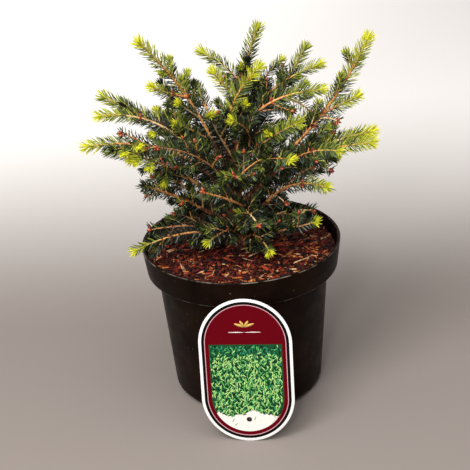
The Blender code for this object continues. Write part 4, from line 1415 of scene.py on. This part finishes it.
@dataclass
class Crown:
    """The limbs' paths and every shoot that grows on them, by the solids' rule and a finer one."""

    pot: Pot
    mulch: Mulch
    trunk: Trunk

    def __post_init__(self) -> None:
        """Grow the limbs, their arms and side shoots, then the short shoots and the finer twigs."""
        self.paths = {limb.name: self.limb_path(limb) for limb in LIMBS}
        wood = self.trunk.places(Growth.axis_sample)
        for limb in LIMBS:
            if limb.thick:
                wood += self.bough_places(limb, Growth.axis_sample)
        self.wood = Neighbours(wood)
        self.open_places = [self.paths[name].at(share) for name in OPEN_WOOD for share in Growth.open_shares]
        self.open_wood = KDTree(len(self.open_places))
        for index, place in enumerate(self.open_places):
            self.open_wood.insert(self.seen(place), index)
        self.open_wood.balance()
        self.shoots = {limb.name: [self.leader(limb)] for limb in LIMBS}
        for arm in ARMS:
            self.shoots[arm.limb].append(self.arm(arm, 0))
        for number, limb in enumerate(LIMBS):
            others = self.axes(limb.name)
            for shoot in self.side_shoots(limb, random.Random(Growth.first_seed + number)):
                if self.has_room(shoot, [others], Growth.core_clear, 2, Growth.solid_shoot):
                    self.shoots[limb.name].append(shoot)
        for tuft in TUFTS:
            self.shoots[tuft.limb].append(self.arm(tuft, 1))
        for number, limb in enumerate(LIMBS):
            self.grow_twigs(limb, random.Random(2 * Growth.first_seed + number))

    def limb_path(self, limb: Limb) -> Path:
        """The whole run of a limb from the trunk's axis to its tip."""
        start = self.trunk.point(limb.start * MM)
        end = polar(limb.azimuth, limb.reach, limb.height)
        return Path(start, end, limb.arch * MM, limb.swing * MM)

    def bough_places(self, limb: Limb, step: float) -> list[tuple[Vector, float]]:
        """Places on a bough's axis, with the radius at each."""
        points = self.paths[limb.name].points(step, 0.0, limb.bare)
        thick = limb.thick * MM
        count = len(points) - 1
        return [(point, thick + (Growth.bough_tip - thick) * i / count) for i, point in enumerate(points)]

    def all_shoots(self) -> Iterator[Shoot]:
        """Every shoot, limb by limb."""
        for shoots in self.shoots.values():
            yield from shoots

    def leader(self, limb: Limb) -> Shoot:
        """The first shoot of a limb, which carries on from its bough or leaves the trunk."""
        first = limb.bare if limb.thick else 0.0
        bright = limb.name in OPEN_WOOD
        thick = Growth.strong_thick if limb.thick or bright else Growth.weak_thick
        return Shoot(self.paths[limb.name], first, limb.bare, thick, limb.tip, limb.young, 0, bright)

    def arm(self, arm: Arm, order: int) -> Shoot:
        """Another shoot of a limb, from its place on it to its own tip."""
        root = self.paths[arm.limb].at(arm.root)
        path = Path(root, polar(arm.azimuth, arm.reach, arm.height), arm.arch * MM)
        bare = Growth.bare_root / path.length()
        return Shoot(path, 0.0, bare, Growth.arm_thick[order], arm.tip, arm.young, order)

    def axes(self, left_out: str = "") -> Neighbours:
        """The axes of all shoots, but for those of one limb."""
        return axes_of(
            shoot for name, shoots in self.shoots.items() if name != left_out for shoot in shoots
        )

    def above_ground(self, point: Vector, room: float) -> bool:
        """Whether a point is some room above the mulch, or above the rim where it is out there."""
        radius = point.xy.length
        inside = radius < self.pot.body_top_radius
        ground = self.mulch.height(radius) + Growth.chip_layer if inside else self.pot.height
        return point.z > ground + room

    def clear_of_openings(self, shoot: Shoot) -> bool:
        """Whether a shoot's tip stays out of the openings, and the shoot doesn't shade a limb's wood."""
        tip = shoot.path.end / MM
        if any((tip - Vector(place[:3])).length < place[3] for place in OPENINGS):
            return False
        outer = shoot.samples[len(shoot.samples) // 2:]
        return not any(self.shades(place) for place in outer)

    def shades(self, place: Vector) -> bool:
        """Whether a place lies just on the light's side of a limb whose wood lies open."""
        _, index, distance = self.open_wood.find(self.seen(place))
        ahead = (place - self.open_places[index]).dot(Growth.window)
        return distance < Growth.window_clear and Growth.window_near < ahead < Growth.window_far

    def seen(self, place: Vector) -> Vector:
        """A place as the light sees it, with its depth left out."""
        return place - Growth.window * place.dot(Growth.window)

    def has_room(
        self, shoot: Shoot, others: Sequence[Neighbours], clear: float, skipped: int, thick: float = 0.0
    ) -> bool:
        """Whether a shoot keeps clear of the others, the wood and the ground.

        Args:
            shoot: the shoot.
            others: the places of the others.
            clear: how far it keeps from them.
            skipped: how many places at its root don't count.
            thick: its radius, where it has to stay clear as a solid.

        Returns:
            True if it has room.
        """
        return self.clear_of_openings(shoot) and all(
            all(other.distance(place) > clear for other in others)
            and self.wood.distance(place) > Growth.limb_clear + thick
            and self.above_ground(place, Growth.ground_clear + thick)
            for place in shoot.samples[skipped:]
        )

    def side_shoots(self, limb: Limb, rng: random.Random) -> Iterator[Shoot]:
        """The seeded rule: shoots leave a limb left, right and on top, shorter towards its tip.

        Args:
            limb: the limb that they leave.
            rng: the limb's own random numbers.

        Yields:
            The shoots that are long enough to keep.
        """
        path = self.paths[limb.name]
        for index in range(limb.sides):
            step = (index + rng.uniform(-Growth.side_shift, Growth.side_shift)) / limb.sides
            share = limb.bare + Growth.side_first + (Growth.side_last_share - limb.bare) * step
            along = path.along(share)
            side, over = sides_of(along, UP, 0.0)
            turn = Growth.side_rolls[index % len(Growth.side_rolls)]
            roll = radians(turn + rng.uniform(-Growth.side_roll_span, Growth.side_roll_span))
            spread = Growth.side_spread * rng.uniform(*Growth.spread_span)
            heading = spread_from(along, side, over, roll, spread, Growth.side_lift)
            length = Growth.side_length * (Growth.side_full_share - share) * rng.uniform(*Growth.length_span)
            start = path.at(share)
            run = Path(start, start + heading * length, rng.uniform(*Growth.side_arch_span) * length)
            if length > Growth.shortest_side:
                ending = self.side_tip(limb, path.length(share))
                yield Shoot(run, 0.0, Growth.bare_root / length, Growth.side_thick, *ending, 1)

    def side_tip(self, limb: Limb, from_tip: float) -> tuple[Tip, float]:
        """How a side shoot ends, from how far its root is from its limb's tip."""
        chance = random.Random(f"{limb.name} {from_tip:.4f}").random()
        if limb.tip in (LIME, FRESH) and from_tip < (limb.young + Growth.lime_zone) * MM:
            return Growth.side_lime if chance < limb.young / Growth.lime_scale else Growth.side_fresh
        if chance < Growth.stray_share:
            return Growth.side_stray
        return Growth.side_bud if chance < Growth.bud_share else Growth.side_green

    def grow_twigs(self, limb: Limb, rng: random.Random) -> None:
        """The finer rule: short twigs left and right on a limb's shoots, where they have room.

        Args:
            limb: the limb whose shoots bear them.
            rng: the limb's own random numbers.
        """
        for shoot in list(self.shoots[limb.name]):
            if shoot.path.length(shoot.first) <= Growth.bearer_length:
                continue
            others = [self.axes()]
            grown = []
            length = shoot.path.length()
            bare = Growth.inner_start * shoot.bare if shoot.order == 0 else shoot.bare
            distance = bare * length + Growth.twig_first
            distance += rng.uniform(0.0, Growth.twig_shift) * Growth.twig_step
            flip = rng.choice((-1.0, 1.0))
            while distance < length - max(Growth.twig_last, shoot.young - Growth.twig_overlap) * MM:
                twig = self.twig(shoot, distance / length, flip, rng)
                flip = -flip
                distance += Growth.twig_step * rng.uniform(*Growth.twig_step_span)
                near = others + ([axes_of(grown)] if grown else [])
                if self.has_room(twig, near, Growth.twig_clear, len(twig.samples) // 3):
                    grown.append(twig)
            self.shoots[limb.name] += grown

    def twig(self, shoot: Shoot, share: float, flip: float, rng: random.Random) -> Shoot:
        """One finer twig, to the left or right of a shoot as the light sees it."""
        path = shoot.path
        along = path.along(share)
        side, over = sides_of(along, Growth.window)
        roll = radians(rng.uniform(*Growth.twig_rolls)) * flip
        spread = radians(rng.uniform(*Growth.twig_spreads))
        heading = spread_from(along, side, over, roll, spread, Growth.twig_lift)
        from_tip = path.length(share)
        full = min(1.0, Growth.twig_least_share + from_tip / Growth.twig_full_from)
        length = rng.uniform(*Growth.twig_span) * full
        start = path.at(share)
        run = Path(start, start + heading * length, rng.uniform(*Growth.twig_arch_span) * length)
        budded = rng.random() < Growth.twig_bud_share
        older = Growth.twig_bud if budded else Growth.twig_dark
        ending = Growth.twig_fresh if shoot.level(from_tip) < Growth.fresh_end else older
        bare = min(Growth.twig_bare_most, Growth.twig_bare_root / length)
        return Shoot(run, 0.0, bare, Growth.twig_thick, *ending, 2)


class Tone(Enum):
    """Needle colours on the scale from the newest to the oldest, along which painted shade also moves
    needles, and the bloom of their undersides.
    """

    PALE = "#dcd92e"
    LIME = "#bcbf2a"
    FRESH = "#a8ad34"
    MOSS = "#868f34"
    GREEN = "#4d5c26"
    DEEP = "#2a3416"
    DARK = "#0e1307"
    BLOOM = "#66726a"


SCALE = [tone for tone in Tone if tone is not Tone.BLOOM]


@dataclass
class Needles:
    """The needles of all shoots, joined by tone. Their leans from the shoot are in degrees."""

    crown: Crown
    length: float = 9.2 * MM
    width: float = 1.05 * MM
    thick: float = 0.8 * MM
    size_span: tuple[float, float] = (0.82, 1.1)
    per_metre: float = 2600.0
    old_per_metre: float = 2150.0
    tip_per_metre: float = 2900.0
    step_span: tuple[float, float] = (0.6, 1.4)
    tip_zone: float = 13.0 * MM
    tip_count: int = 13
    bud_count: int = 5
    parting: float = 0.36
    lit_side: float = 0.3
    shed_young: float = 0.12
    shed_old: float = 0.55
    shed_bright: float = 0.88
    dry_share: float = 0.6
    spray_shift: float = 0.4
    mottle: float = 0.9
    strong_shoot: float = 55.0
    strong_gain: float = 0.2
    weak_size: float = 0.88
    tip_shrink: float = 0.14
    low_shrink: float = 0.25
    lean_root: float = 58.0
    lean_young: float = 52.0
    lean_tip: float = 43.0
    lean_bud: float = 66.0
    lean_span: float = 8.0
    tip_lean: float = 5.0
    tip_spread: float = 40.0
    tip_power: float = 0.7
    young_part: float = 0.7
    root_sink: float = 0.4
    lift: float = 0.10
    clear: float = 0.2 * MM
    # Steps on the scale of tones by which needles that face down, lie deep inside or sit low are darkened:
    # painted shade
    shade_below: float = 0.7
    shade_inside: float = 0.9
    shade_low: float = 0.7
    inner_radius: float = 38.0 * MM
    low_from: float = 205.0 * MM
    low_depth: float = 50.0 * MM
    shaded_from: float = 2.0
    underside: float = -0.35
    bloom_from: float = 3.4
    bloom_share: float = 0.14
    spray: float = 5.0 * MM
    bend: float = 0.9
    root_radius: float = 0.36
    widest: float = 0.66
    inner_start: float = 0.15
    inner_share: float = 0.8
    long_bare: float = 0.2
    sides: int = 3
    seed: str = "needles"
    swarms: dict[Tone, Swarm] = field(init=False)
    rng: random.Random = field(init=False)

    def template(self) -> Template:
        """A three-sided needle of unit length, widest past its middle, bent towards its shoot's tip."""
        shape = bmesh.new()
        bmesh.ops.create_cone(
            shape, cap_ends=True, segments=self.sides, radius1=self.root_radius, radius2=0.0, depth=1.0,
            matrix=Matrix.Translation((0.0, 0.0, 0.5)),
        )
        split(shape, (0.0, 0.0, self.widest), (0.0, 0.0, 1.0))
        for vertex in shape.verts:
            radius = vertex.co.xy.length
            if radius > WELD and vertex.co.z > 0.1:
                vertex.co.xy *= 0.5 / radius
            vertex.co.y += self.bend * vertex.co.z ** 2
        return Template.of(shape)

    def build(self) -> None:
        """Set the needles on every shoot and make a piece of each tone."""
        template = self.template()
        self.swarms = {tone: Swarm([template]) for tone in Tone}
        for name, shoots in self.crown.shoots.items():
            self.rng = random.Random(f"{self.seed} {name}")
            for shoot in shoots:
                self.set_on(shoot)
        nodes = [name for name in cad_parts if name.startswith("foliage_")]
        for tone, swarm in self.swarms.items():
            name = tone.name.lower()
            finish = WaxyNeedle(f"Waxy needle {name}", (tone.value,))
            mesh = swarm.mesh(name)
            smooth_by_angle(mesh, 50.0)
            make_piece(f"needles_{name}", mesh, [finish.material()], nodes)

    def set_on(self, shoot: Shoot) -> None:
        """Set the needles on one shoot, from where they start to its tip."""
        budded = shoot.tip.budded()
        length = shoot.path.length()
        inside = shoot.bare > self.long_bare and shoot.order == 0
        distance = shoot.bare * length * (self.inner_start if inside else 1.0)
        turn = self.rng.uniform(0.0, FULL_TURN)
        shift, spray_end = 0.0, 0.0
        while distance < length:
            from_tip = length - distance
            if distance > spray_end:
                shift = self.rng.gauss(0.0, self.spray_shift)
                spray_end = distance + self.spray
            crowded = from_tip < self.tip_zone and not budded
            inner = distance < shoot.bare * length
            grown = self.per_metre if from_tip < shoot.young * MM else self.old_per_metre
            if shoot.order == 1 and budded:
                grown *= self.dry_share
            rate = self.tip_per_metre if crowded else grown * (self.inner_share if inner else 1.0)
            distance += self.rng.uniform(*self.step_span) / rate
            turn += GOLDEN_TURN
            self.needle(shoot, min(1.0, distance / length), from_tip, turn, shift)
        for index in range(self.bud_count if budded else self.tip_count):
            turn += GOLDEN_TURN
            share = (index / (self.tip_count - 1)) ** self.tip_power
            lean = None if budded else self.tip_lean + self.tip_spread * share
            self.needle(shoot, 1.0, 0.0, turn, shift, lean)

    def needle(
        self, shoot: Shoot, share: float, from_tip: float, turn: float, shift: float,
        lean: Optional[float] = None,
    ) -> None:
        """Set one needle, unless it would run into the ground or the pot.

        Args:
            shoot: the shoot that it stands on.
            share: where on the shoot.
            from_tip: how far that is from the shoot's tip.
            turn: the angle round the shoot.
            shift: how much older or newer this spray looks.
            lean: its lean from the shoot in degrees, if it isn't the usual one.
        """
        rng = self.rng
        root = shoot.path.at(share)
        along = shoot.path.along(share)
        side, over = sides_of(along, Growth.window)
        angle = turn - self.parting * sin(2.0 * turn)
        outward = side * cos(angle) + over * sin(angle)
        near = max(0.0, 1.0 - from_tip / (2.0 * self.tip_zone))
        shed = self.shed_bright if shoot.bright else self.shed_old
        shed = self.shed_young if from_tip < self.young_part * shoot.young * MM else shed
        if sin(angle) > self.lit_side and rng.random() < shed * (1.0 - near):
            return
        if lean is None:
            goal = self.lean_bud if shoot.tip.budded() else self.lean_tip
            usual = self.lean_young if from_tip < shoot.young * MM else self.lean_root
            lean = usual + (goal - usual) * near + rng.uniform(-self.lean_span, self.lean_span)
        lean = radians(lean)
        heading = outward * sin(lean) + along * cos(lean)
        heading = (heading + UP * self.lift * (1.0 - near) * rng.random()).normalized()
        strong = 1.0 + self.strong_gain * min(1.0, shoot.young / self.strong_shoot)
        size = self.length * (strong if shoot.order == 0 else self.weak_size)
        size = size * rng.uniform(*self.size_span) * (1.0 - self.tip_shrink * near)
        size *= 1.0 - self.low_shrink * self.low(root) * (1.0 - near)
        origin = root + outward * 0.5 * shoot.thick * (1.0 - self.root_sink * share)
        ends = [origin + heading * size * part for part in (0.5, 1.0)]
        if not all(self.crown.above_ground(end, self.clear) for end in ends):
            return
        towards = along - heading * along.dot(heading)
        if towards.length < 0.02:
            towards = outward - heading * outward.dot(heading)
        towards.normalize()
        across = towards.cross(heading)
        scale = shoot.level(from_tip) + shift + rng.gauss(0.0, self.mottle)
        # Needles that face down, lie deep inside the crown or sit low move to darker tones: painted shade
        deep = self.depth(origin) if scale > self.shaded_from else 0.0
        scale += self.shade_below * max(0.0, -outward.z) + deep
        tone = SCALE[max(0, min(len(SCALE) - 1, round(scale)))]
        if outward.z < self.underside and scale > self.bloom_from and rng.random() < self.bloom_share:
            tone = Tone.BLOOM
        self.swarms[tone].add(0, across * self.width, towards * self.thick, heading * size, origin)

    def depth(self, place: Vector) -> float:
        """How much darker needles are painted deep inside the crown and low down: painted shade."""
        inside = max(0.0, 1.0 - place.xy.length / self.inner_radius)
        return self.shade_inside * inside + self.shade_low * self.low(place)

    def low(self, place: Vector) -> float:
        """How low a place is in the crown, from 0 in the upper part to 1 at the foot."""
        return min(1.0, max(0.0, (self.low_from - place.z) / self.low_depth))


class Wood(Enum):
    """Twig bark by age: its colour and the shade in its furrows."""

    GREEN = ("#bfa556", "#8d7a36")
    ORANGE = ("#e4a45e", "#a3541f")
    TAN = ("#f2d29a", "#b98348")
    BROWN = ("#c08a58", "#6e4022")


@dataclass
class Branches:
    """The trunk, the boughs, the twigs and the buds."""

    crown: Crown
    twig_ring: float = 2.6 * MM
    knob: float = 0.16
    bark_ring: float = 1.6 * MM
    plate_lift: float = 0.55 * MM
    plate_size: float = 3.4 * MM
    bud_length: float = 4.3 * MM
    bud_width: float = 3.1 * MM
    tip_share: float = 0.62
    green_end: float = 20.0
    trunk_reach: float = 12.0 * MM
    bough_relief: float = 0.4
    peg_size: float = 2.2 * MM
    tan_share: float = 0.35
    orange_share: float = 0.75
    whorl_from: float = 18.0
    bud_step: float = 34.0 * MM
    bud_share: float = 0.6
    side_bud: float = 0.75
    bud_span: tuple[float, float] = (0.8, 1.15)
    lower_bud: float = 0.85
    tip_buds: int = 3
    whorl_buds: int = 4
    whorl_shift: float = 0.4
    bud_zone: tuple[float, float] = (0.25, 0.85)
    bud_lean: float = 1.3
    bud_root: float = 0.7
    rng: random.Random = field(init=False)

    def tubes(self, name: str, runs: Sequence[Sequence[tuple[Vector, float]]], level: int) -> Mesh:
        """Round tubes along some runs, joined.

        Args:
            name: the mesh's name.
            runs: for each tube, its places with the radius at each.
            level: the bevel's resolution.

        Returns:
            The mesh.
        """
        curve = bpy.data.curves.new(name, "CURVE")
        curve.dimensions = "3D"
        curve.use_fill_caps = True
        curve.bevel_depth = 1.0
        curve.bevel_resolution = level
        for run in runs:
            spline = curve.splines.new("POLY")
            spline.points.add(len(run) - 1)
            for point, (place, radius) in zip(spline.points, run):
                point.co = (*place, 1.0)
                point.radius = radius
        mesh = worked_out(linked(name, curve))
        shape = bmesh.new()
        shape.from_mesh(mesh)
        bmesh.ops.remove_doubles(shape, verts=shape.verts, dist=WELD)
        bmesh.ops.recalc_face_normals(shape, faces=shape.faces)
        shape.to_mesh(mesh)
        shape.free()
        return mesh

    def build(self) -> None:
        """Build the bark, the twigs by age, and the buds."""
        self.build_bark()
        self.build_twigs()
        self.build_buds()

    def build_bark(self) -> None:
        """The trunk and the boughs, with plates of bark raised on them."""
        crown = self.crown
        runs = [crown.trunk.places(self.bark_ring)]
        runs += [crown.bough_places(limb, self.bark_ring) for limb in LIMBS if limb.thick]
        mesh = self.tubes("bark", runs, 6)
        shape = bmesh.new()
        shape.from_mesh(mesh)
        shape.normal_update()
        for vertex in shape.verts:
            drawn = Vector((vertex.co.x, vertex.co.y, vertex.co.z * 0.5)) / self.plate_size
            plate = noise.noise(drawn) + 0.5 * noise.noise(drawn * 2.3)
            thin = min(1.0, crown.trunk.radius(vertex.co.z) / crown.trunk.foot_radius)
            relief = thin if vertex.co.xy.length < self.trunk_reach else self.bough_relief
            vertex.co += vertex.normal * self.plate_lift * plate * relief
        shape.to_mesh(mesh)
        shape.free()
        smooth_by_angle(mesh, 60.0)
        nodes = ["trunk"] + ["bough_" + limb.name for limb in LIMBS if limb.thick]
        finish = FlakedBark("Flaked spruce bark", ("#9c5f38", "#43200f", "#c8925e"))
        make_piece("trunk_and_boughs", mesh, [finish.material()], nodes)

    def knobbly(self, run: list[Vector], thick: float) -> list[tuple[Vector, float]]:
        """Radii along a twig that taper to its tip and swell a little at the needles' pegs."""
        count = max(1, len(run) - 1)
        radii = [thick * (1.0 + (self.tip_share - 1.0) * index / count) for index in range(len(run))]
        return [
            (place, radius * (1.0 + self.knob * noise.noise(place / self.peg_size)))
            for place, radius in zip(run, radii)
        ]

    def build_twigs(self) -> None:
        """The wood of every shoot: this year's green, and older wood orange, tan or brown."""
        runs = {wood: [] for wood in Wood}
        rng = random.Random("twigs")
        for shoot in self.crown.all_shoots():
            places = self.knobbly(shoot.path.points(self.twig_ring, shoot.first), shoot.thick)
            last = len(places) - 1
            green = 0.0 if shoot.tip.budded() else min(shoot.young, self.green_end) * MM
            border = max(0, last - round(green / shoot.path.length(shoot.first) * last))
            chance = rng.random()
            old = Wood.TAN if chance < self.tan_share else Wood.BROWN
            old = Wood.ORANGE if shoot.bright or self.tan_share <= chance < self.orange_share else old
            if border > 0:
                runs[old].append(places[:border + 1])
            if border < last:
                runs[Wood.GREEN].append(places[border:])
        for wood, own in runs.items():
            name = wood.name.lower()
            mesh = self.tubes(f"twigs_{name}", own, 1)
            smooth_by_angle(mesh, 60.0)
            finish = TwigBark(f"Twig bark {name}", wood.value)
            make_piece(f"twigs_{name}", mesh, [finish.material()])

    def bud_template(self) -> Template:
        """An egg-shaped bud of unit length with overlapping scales."""
        shape = bmesh.new()
        bmesh.ops.create_uvsphere(shape, u_segments=8, v_segments=7, radius=0.5)
        for vertex in shape.verts:
            vertex.co.z += 0.5
            turn = math.atan2(vertex.co.y, vertex.co.x)
            ridge = 1.0 + 0.13 * cos(4.0 * turn + 9.0 * vertex.co.z)
            vertex.co.xy *= ridge * (1.12 - 0.45 * vertex.co.z)
        return Template.of(shape)

    def build_buds(self) -> None:
        """Buds at bare tips, in whorls where the newest growth starts, and singly along older twigs."""
        swarm = Swarm([self.bud_template()])
        self.rng = random.Random("buds")
        for shoot in self.crown.all_shoots():
            if shoot.tip.budded():
                self.whorl(swarm, shoot, 1.0, self.tip_buds if shoot.order < 2 else 1)
            elif shoot.order == 0 and shoot.young > self.whorl_from:
                share = 1.0 - shoot.young * MM / shoot.path.length()
                self.whorl(swarm, shoot, share, self.whorl_buds)
            for _ in range(round(shoot.path.length(shoot.first) / self.bud_step)):
                if shoot.order < 2 and self.rng.random() < self.bud_share:
                    share = self.rng.uniform(max(shoot.first, self.bud_zone[0]), self.bud_zone[1])
                    self.whorl(swarm, shoot, share, 1, self.side_bud)
        mesh = swarm.mesh("buds")
        smooth_by_angle(mesh, 70.0)
        finish = BudScale("Resinous bud scale", ("#b9532c", "#5c1408"))
        make_piece("buds", mesh, [finish.material()])

    def whorl(self, swarm: Swarm, shoot: Shoot, share: float, count: int, size: float = 1.0) -> None:
        """Set a bud, or a whorl of several, on a shoot.

        Args:
            swarm: the buds so far.
            shoot: the shoot that they stand on.
            share: where on the shoot; at 1 the first bud stands on its tip.
            count: the number of buds.
            size: their size against a full bud's.
        """
        place = shoot.path.at(share)
        along = shoot.path.along(share)
        side = along.orthogonal().normalized()
        over = along.cross(side)
        turn = self.rng.uniform(0.0, FULL_TURN)
        for index in range(count):
            terminal = share == 1.0 and index == 0
            turn += FULL_TURN / count + self.rng.uniform(-self.whorl_shift, self.whorl_shift)
            outward = side * cos(turn) + over * sin(turn)
            heading = (along if terminal else along + outward * self.bud_lean).normalized()
            start = place + (Vector() if terminal else outward * self.bud_root * shoot.thick)
            own = size * self.rng.uniform(*self.bud_span) * (1.0 if terminal else self.lower_bud)
            across = heading.orthogonal().normalized()
            width = self.bud_width * own
            up = heading.cross(across) * width
            swarm.add(0, across * width, up, heading * self.bud_length * own, start)


@dataclass
class Studio:
    """The camera, the floor and the lights."""

    tilt: float = 25.39
    roll: float = 3.665
    distance: float = 1.198
    lens: float = 107.2
    sensor: float = 36.0
    aim: Vector = field(default_factory=lambda: Vector((0.0, 0.0, 137.0 * MM)))
    aim_left: float = 4.9 * MM
    aim_up: float = 2.43 * MM
    floor_size: float = 9.0
    room_colour: str = "#f4f2f0"
    room_strength: float = 0.42
    backdrop_place: tuple[float, ...] = (-1.6, 2.5, 2.0)
    backdrop_spread: float = radians(80.0)

    def build(self) -> None:
        """Set up the camera, the floor, the lights and the plain display of colours."""
        self.add_camera()
        self.add_floor()
        self.add_lights()
        bpy.context.scene.view_settings.view_transform = "Standard"

    def add_camera(self) -> None:
        """The camera at the photograph's angle, rolled as the photograph is."""
        tilt = radians(self.tilt)
        forward = Vector((0.0, cos(tilt), -sin(tilt)))
        right = Vector((1.0, 0.0, 0.0))
        up = right.cross(forward)
        target = self.aim - right * self.aim_left + up * self.aim_up
        data = bpy.data.cameras.new("camera")
        data.lens = self.lens
        data.sensor_width = self.sensor
        camera = linked("camera", data)
        axes = Matrix((right, up, -forward)).transposed().to_4x4()
        place = Matrix.Translation(target - forward * self.distance)
        camera.matrix_world = place @ axes @ Matrix.Rotation(radians(-self.roll), 4, "Z")
        bpy.context.scene.camera = camera

    def add_floor(self) -> None:
        """A pale floor with painted light, darker near the plant and paler towards the back, wide enough
        that its edge never shows.
        """
        shape = bmesh.new()
        bmesh.ops.create_grid(shape, x_segments=2, y_segments=2, size=self.floor_size / 2.0)
        mesh = meshed(shape, "floor")
        # The colours run from grey near the plant to white at the back: painted light
        mesh.materials.append(SeamlessPaper("Seamless paper", ("#887e78", "#fffaf6")).material())
        floor = linked("floor", mesh)
        floor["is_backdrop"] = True

    def add_lights(self) -> None:
        """A soft key light from the front left, a lamp by the camera, a broad fill, and a bright room.

        A wide light also hangs over the paper behind the plant, and is shielded from the plant.
        """
        world = bpy.data.worlds.new("room")
        world.use_nodes = True
        background = world.node_tree.nodes["Background"]
        background.inputs["Color"].default_value = linear(self.room_colour)
        background.inputs["Strength"].default_value = self.room_strength
        bpy.context.scene.world = world
        self.aimed_light("key", 236.0, 50.0, 1.6, 0.7, 22.0)
        self.aimed_light("lamp", 262.0, 31.0, 1.3, 0.14, 5.0)
        self.aimed_light("fill", 285.0, 75.0, 1.8, 1.4, 17.0)
        backdrop = self.square_light("backdrop", self.backdrop_place, 2.0, 116.0)
        backdrop.data.spread = self.backdrop_spread

    def square_light(self, name: str, place: Sequence[float], size: float, watts: float) -> Object:
        """A square area light that looks down, of some size and power."""
        data = bpy.data.lights.new(name, "AREA")
        data.energy = watts
        data.size = size
        light = linked(name, data)
        light.location = place
        light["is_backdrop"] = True
        return light

    def aimed_light(
        self, name: str, azimuth: float, height: float, away: float, size: float, watts: float
    ) -> None:
        """A square area light that looks at the plant.

        Args:
            name: the light's name.
            azimuth: where it stands round the plant, in degrees.
            height: its angle above the horizon, in degrees.
            away: its distance.
            size: the side of its square.
            watts: its power.
        """
        around, above = radians(azimuth), radians(height)
        back = Vector((cos(around) * cos(above), sin(around) * cos(above), sin(above)))
        light = self.square_light(name, self.aim + back * away, size, watts)
        light.rotation_euler = (-back).to_track_quat("-Z", "Y").to_euler()


def write_sizes() -> None:
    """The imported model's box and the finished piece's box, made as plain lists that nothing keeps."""
    boxes = {"cad": CAD_BOX, "visual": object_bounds()}
    {name: [list(low), list(high)] for name, (low, high) in boxes.items()}


def main() -> None:
    """Build the pot, the mulch, the label, the plant and the studio, in that order."""
    logging.basicConfig(level=logging.INFO, format="%(message)s")
    pot = Pot()
    pot.build()
    mulch = Mulch(pot)
    mulch.build()
    PlantLabel(pot).build()
    crown = Crown(pot, mulch, Trunk())
    LOG.info("shoots: %d", sum(len(shoots) for shoots in crown.shoots.values()))
    Branches(crown).build()
    Needles(crown).build()
    Studio().build()
    write_sizes()


if __name__ == "__main__":
    main()
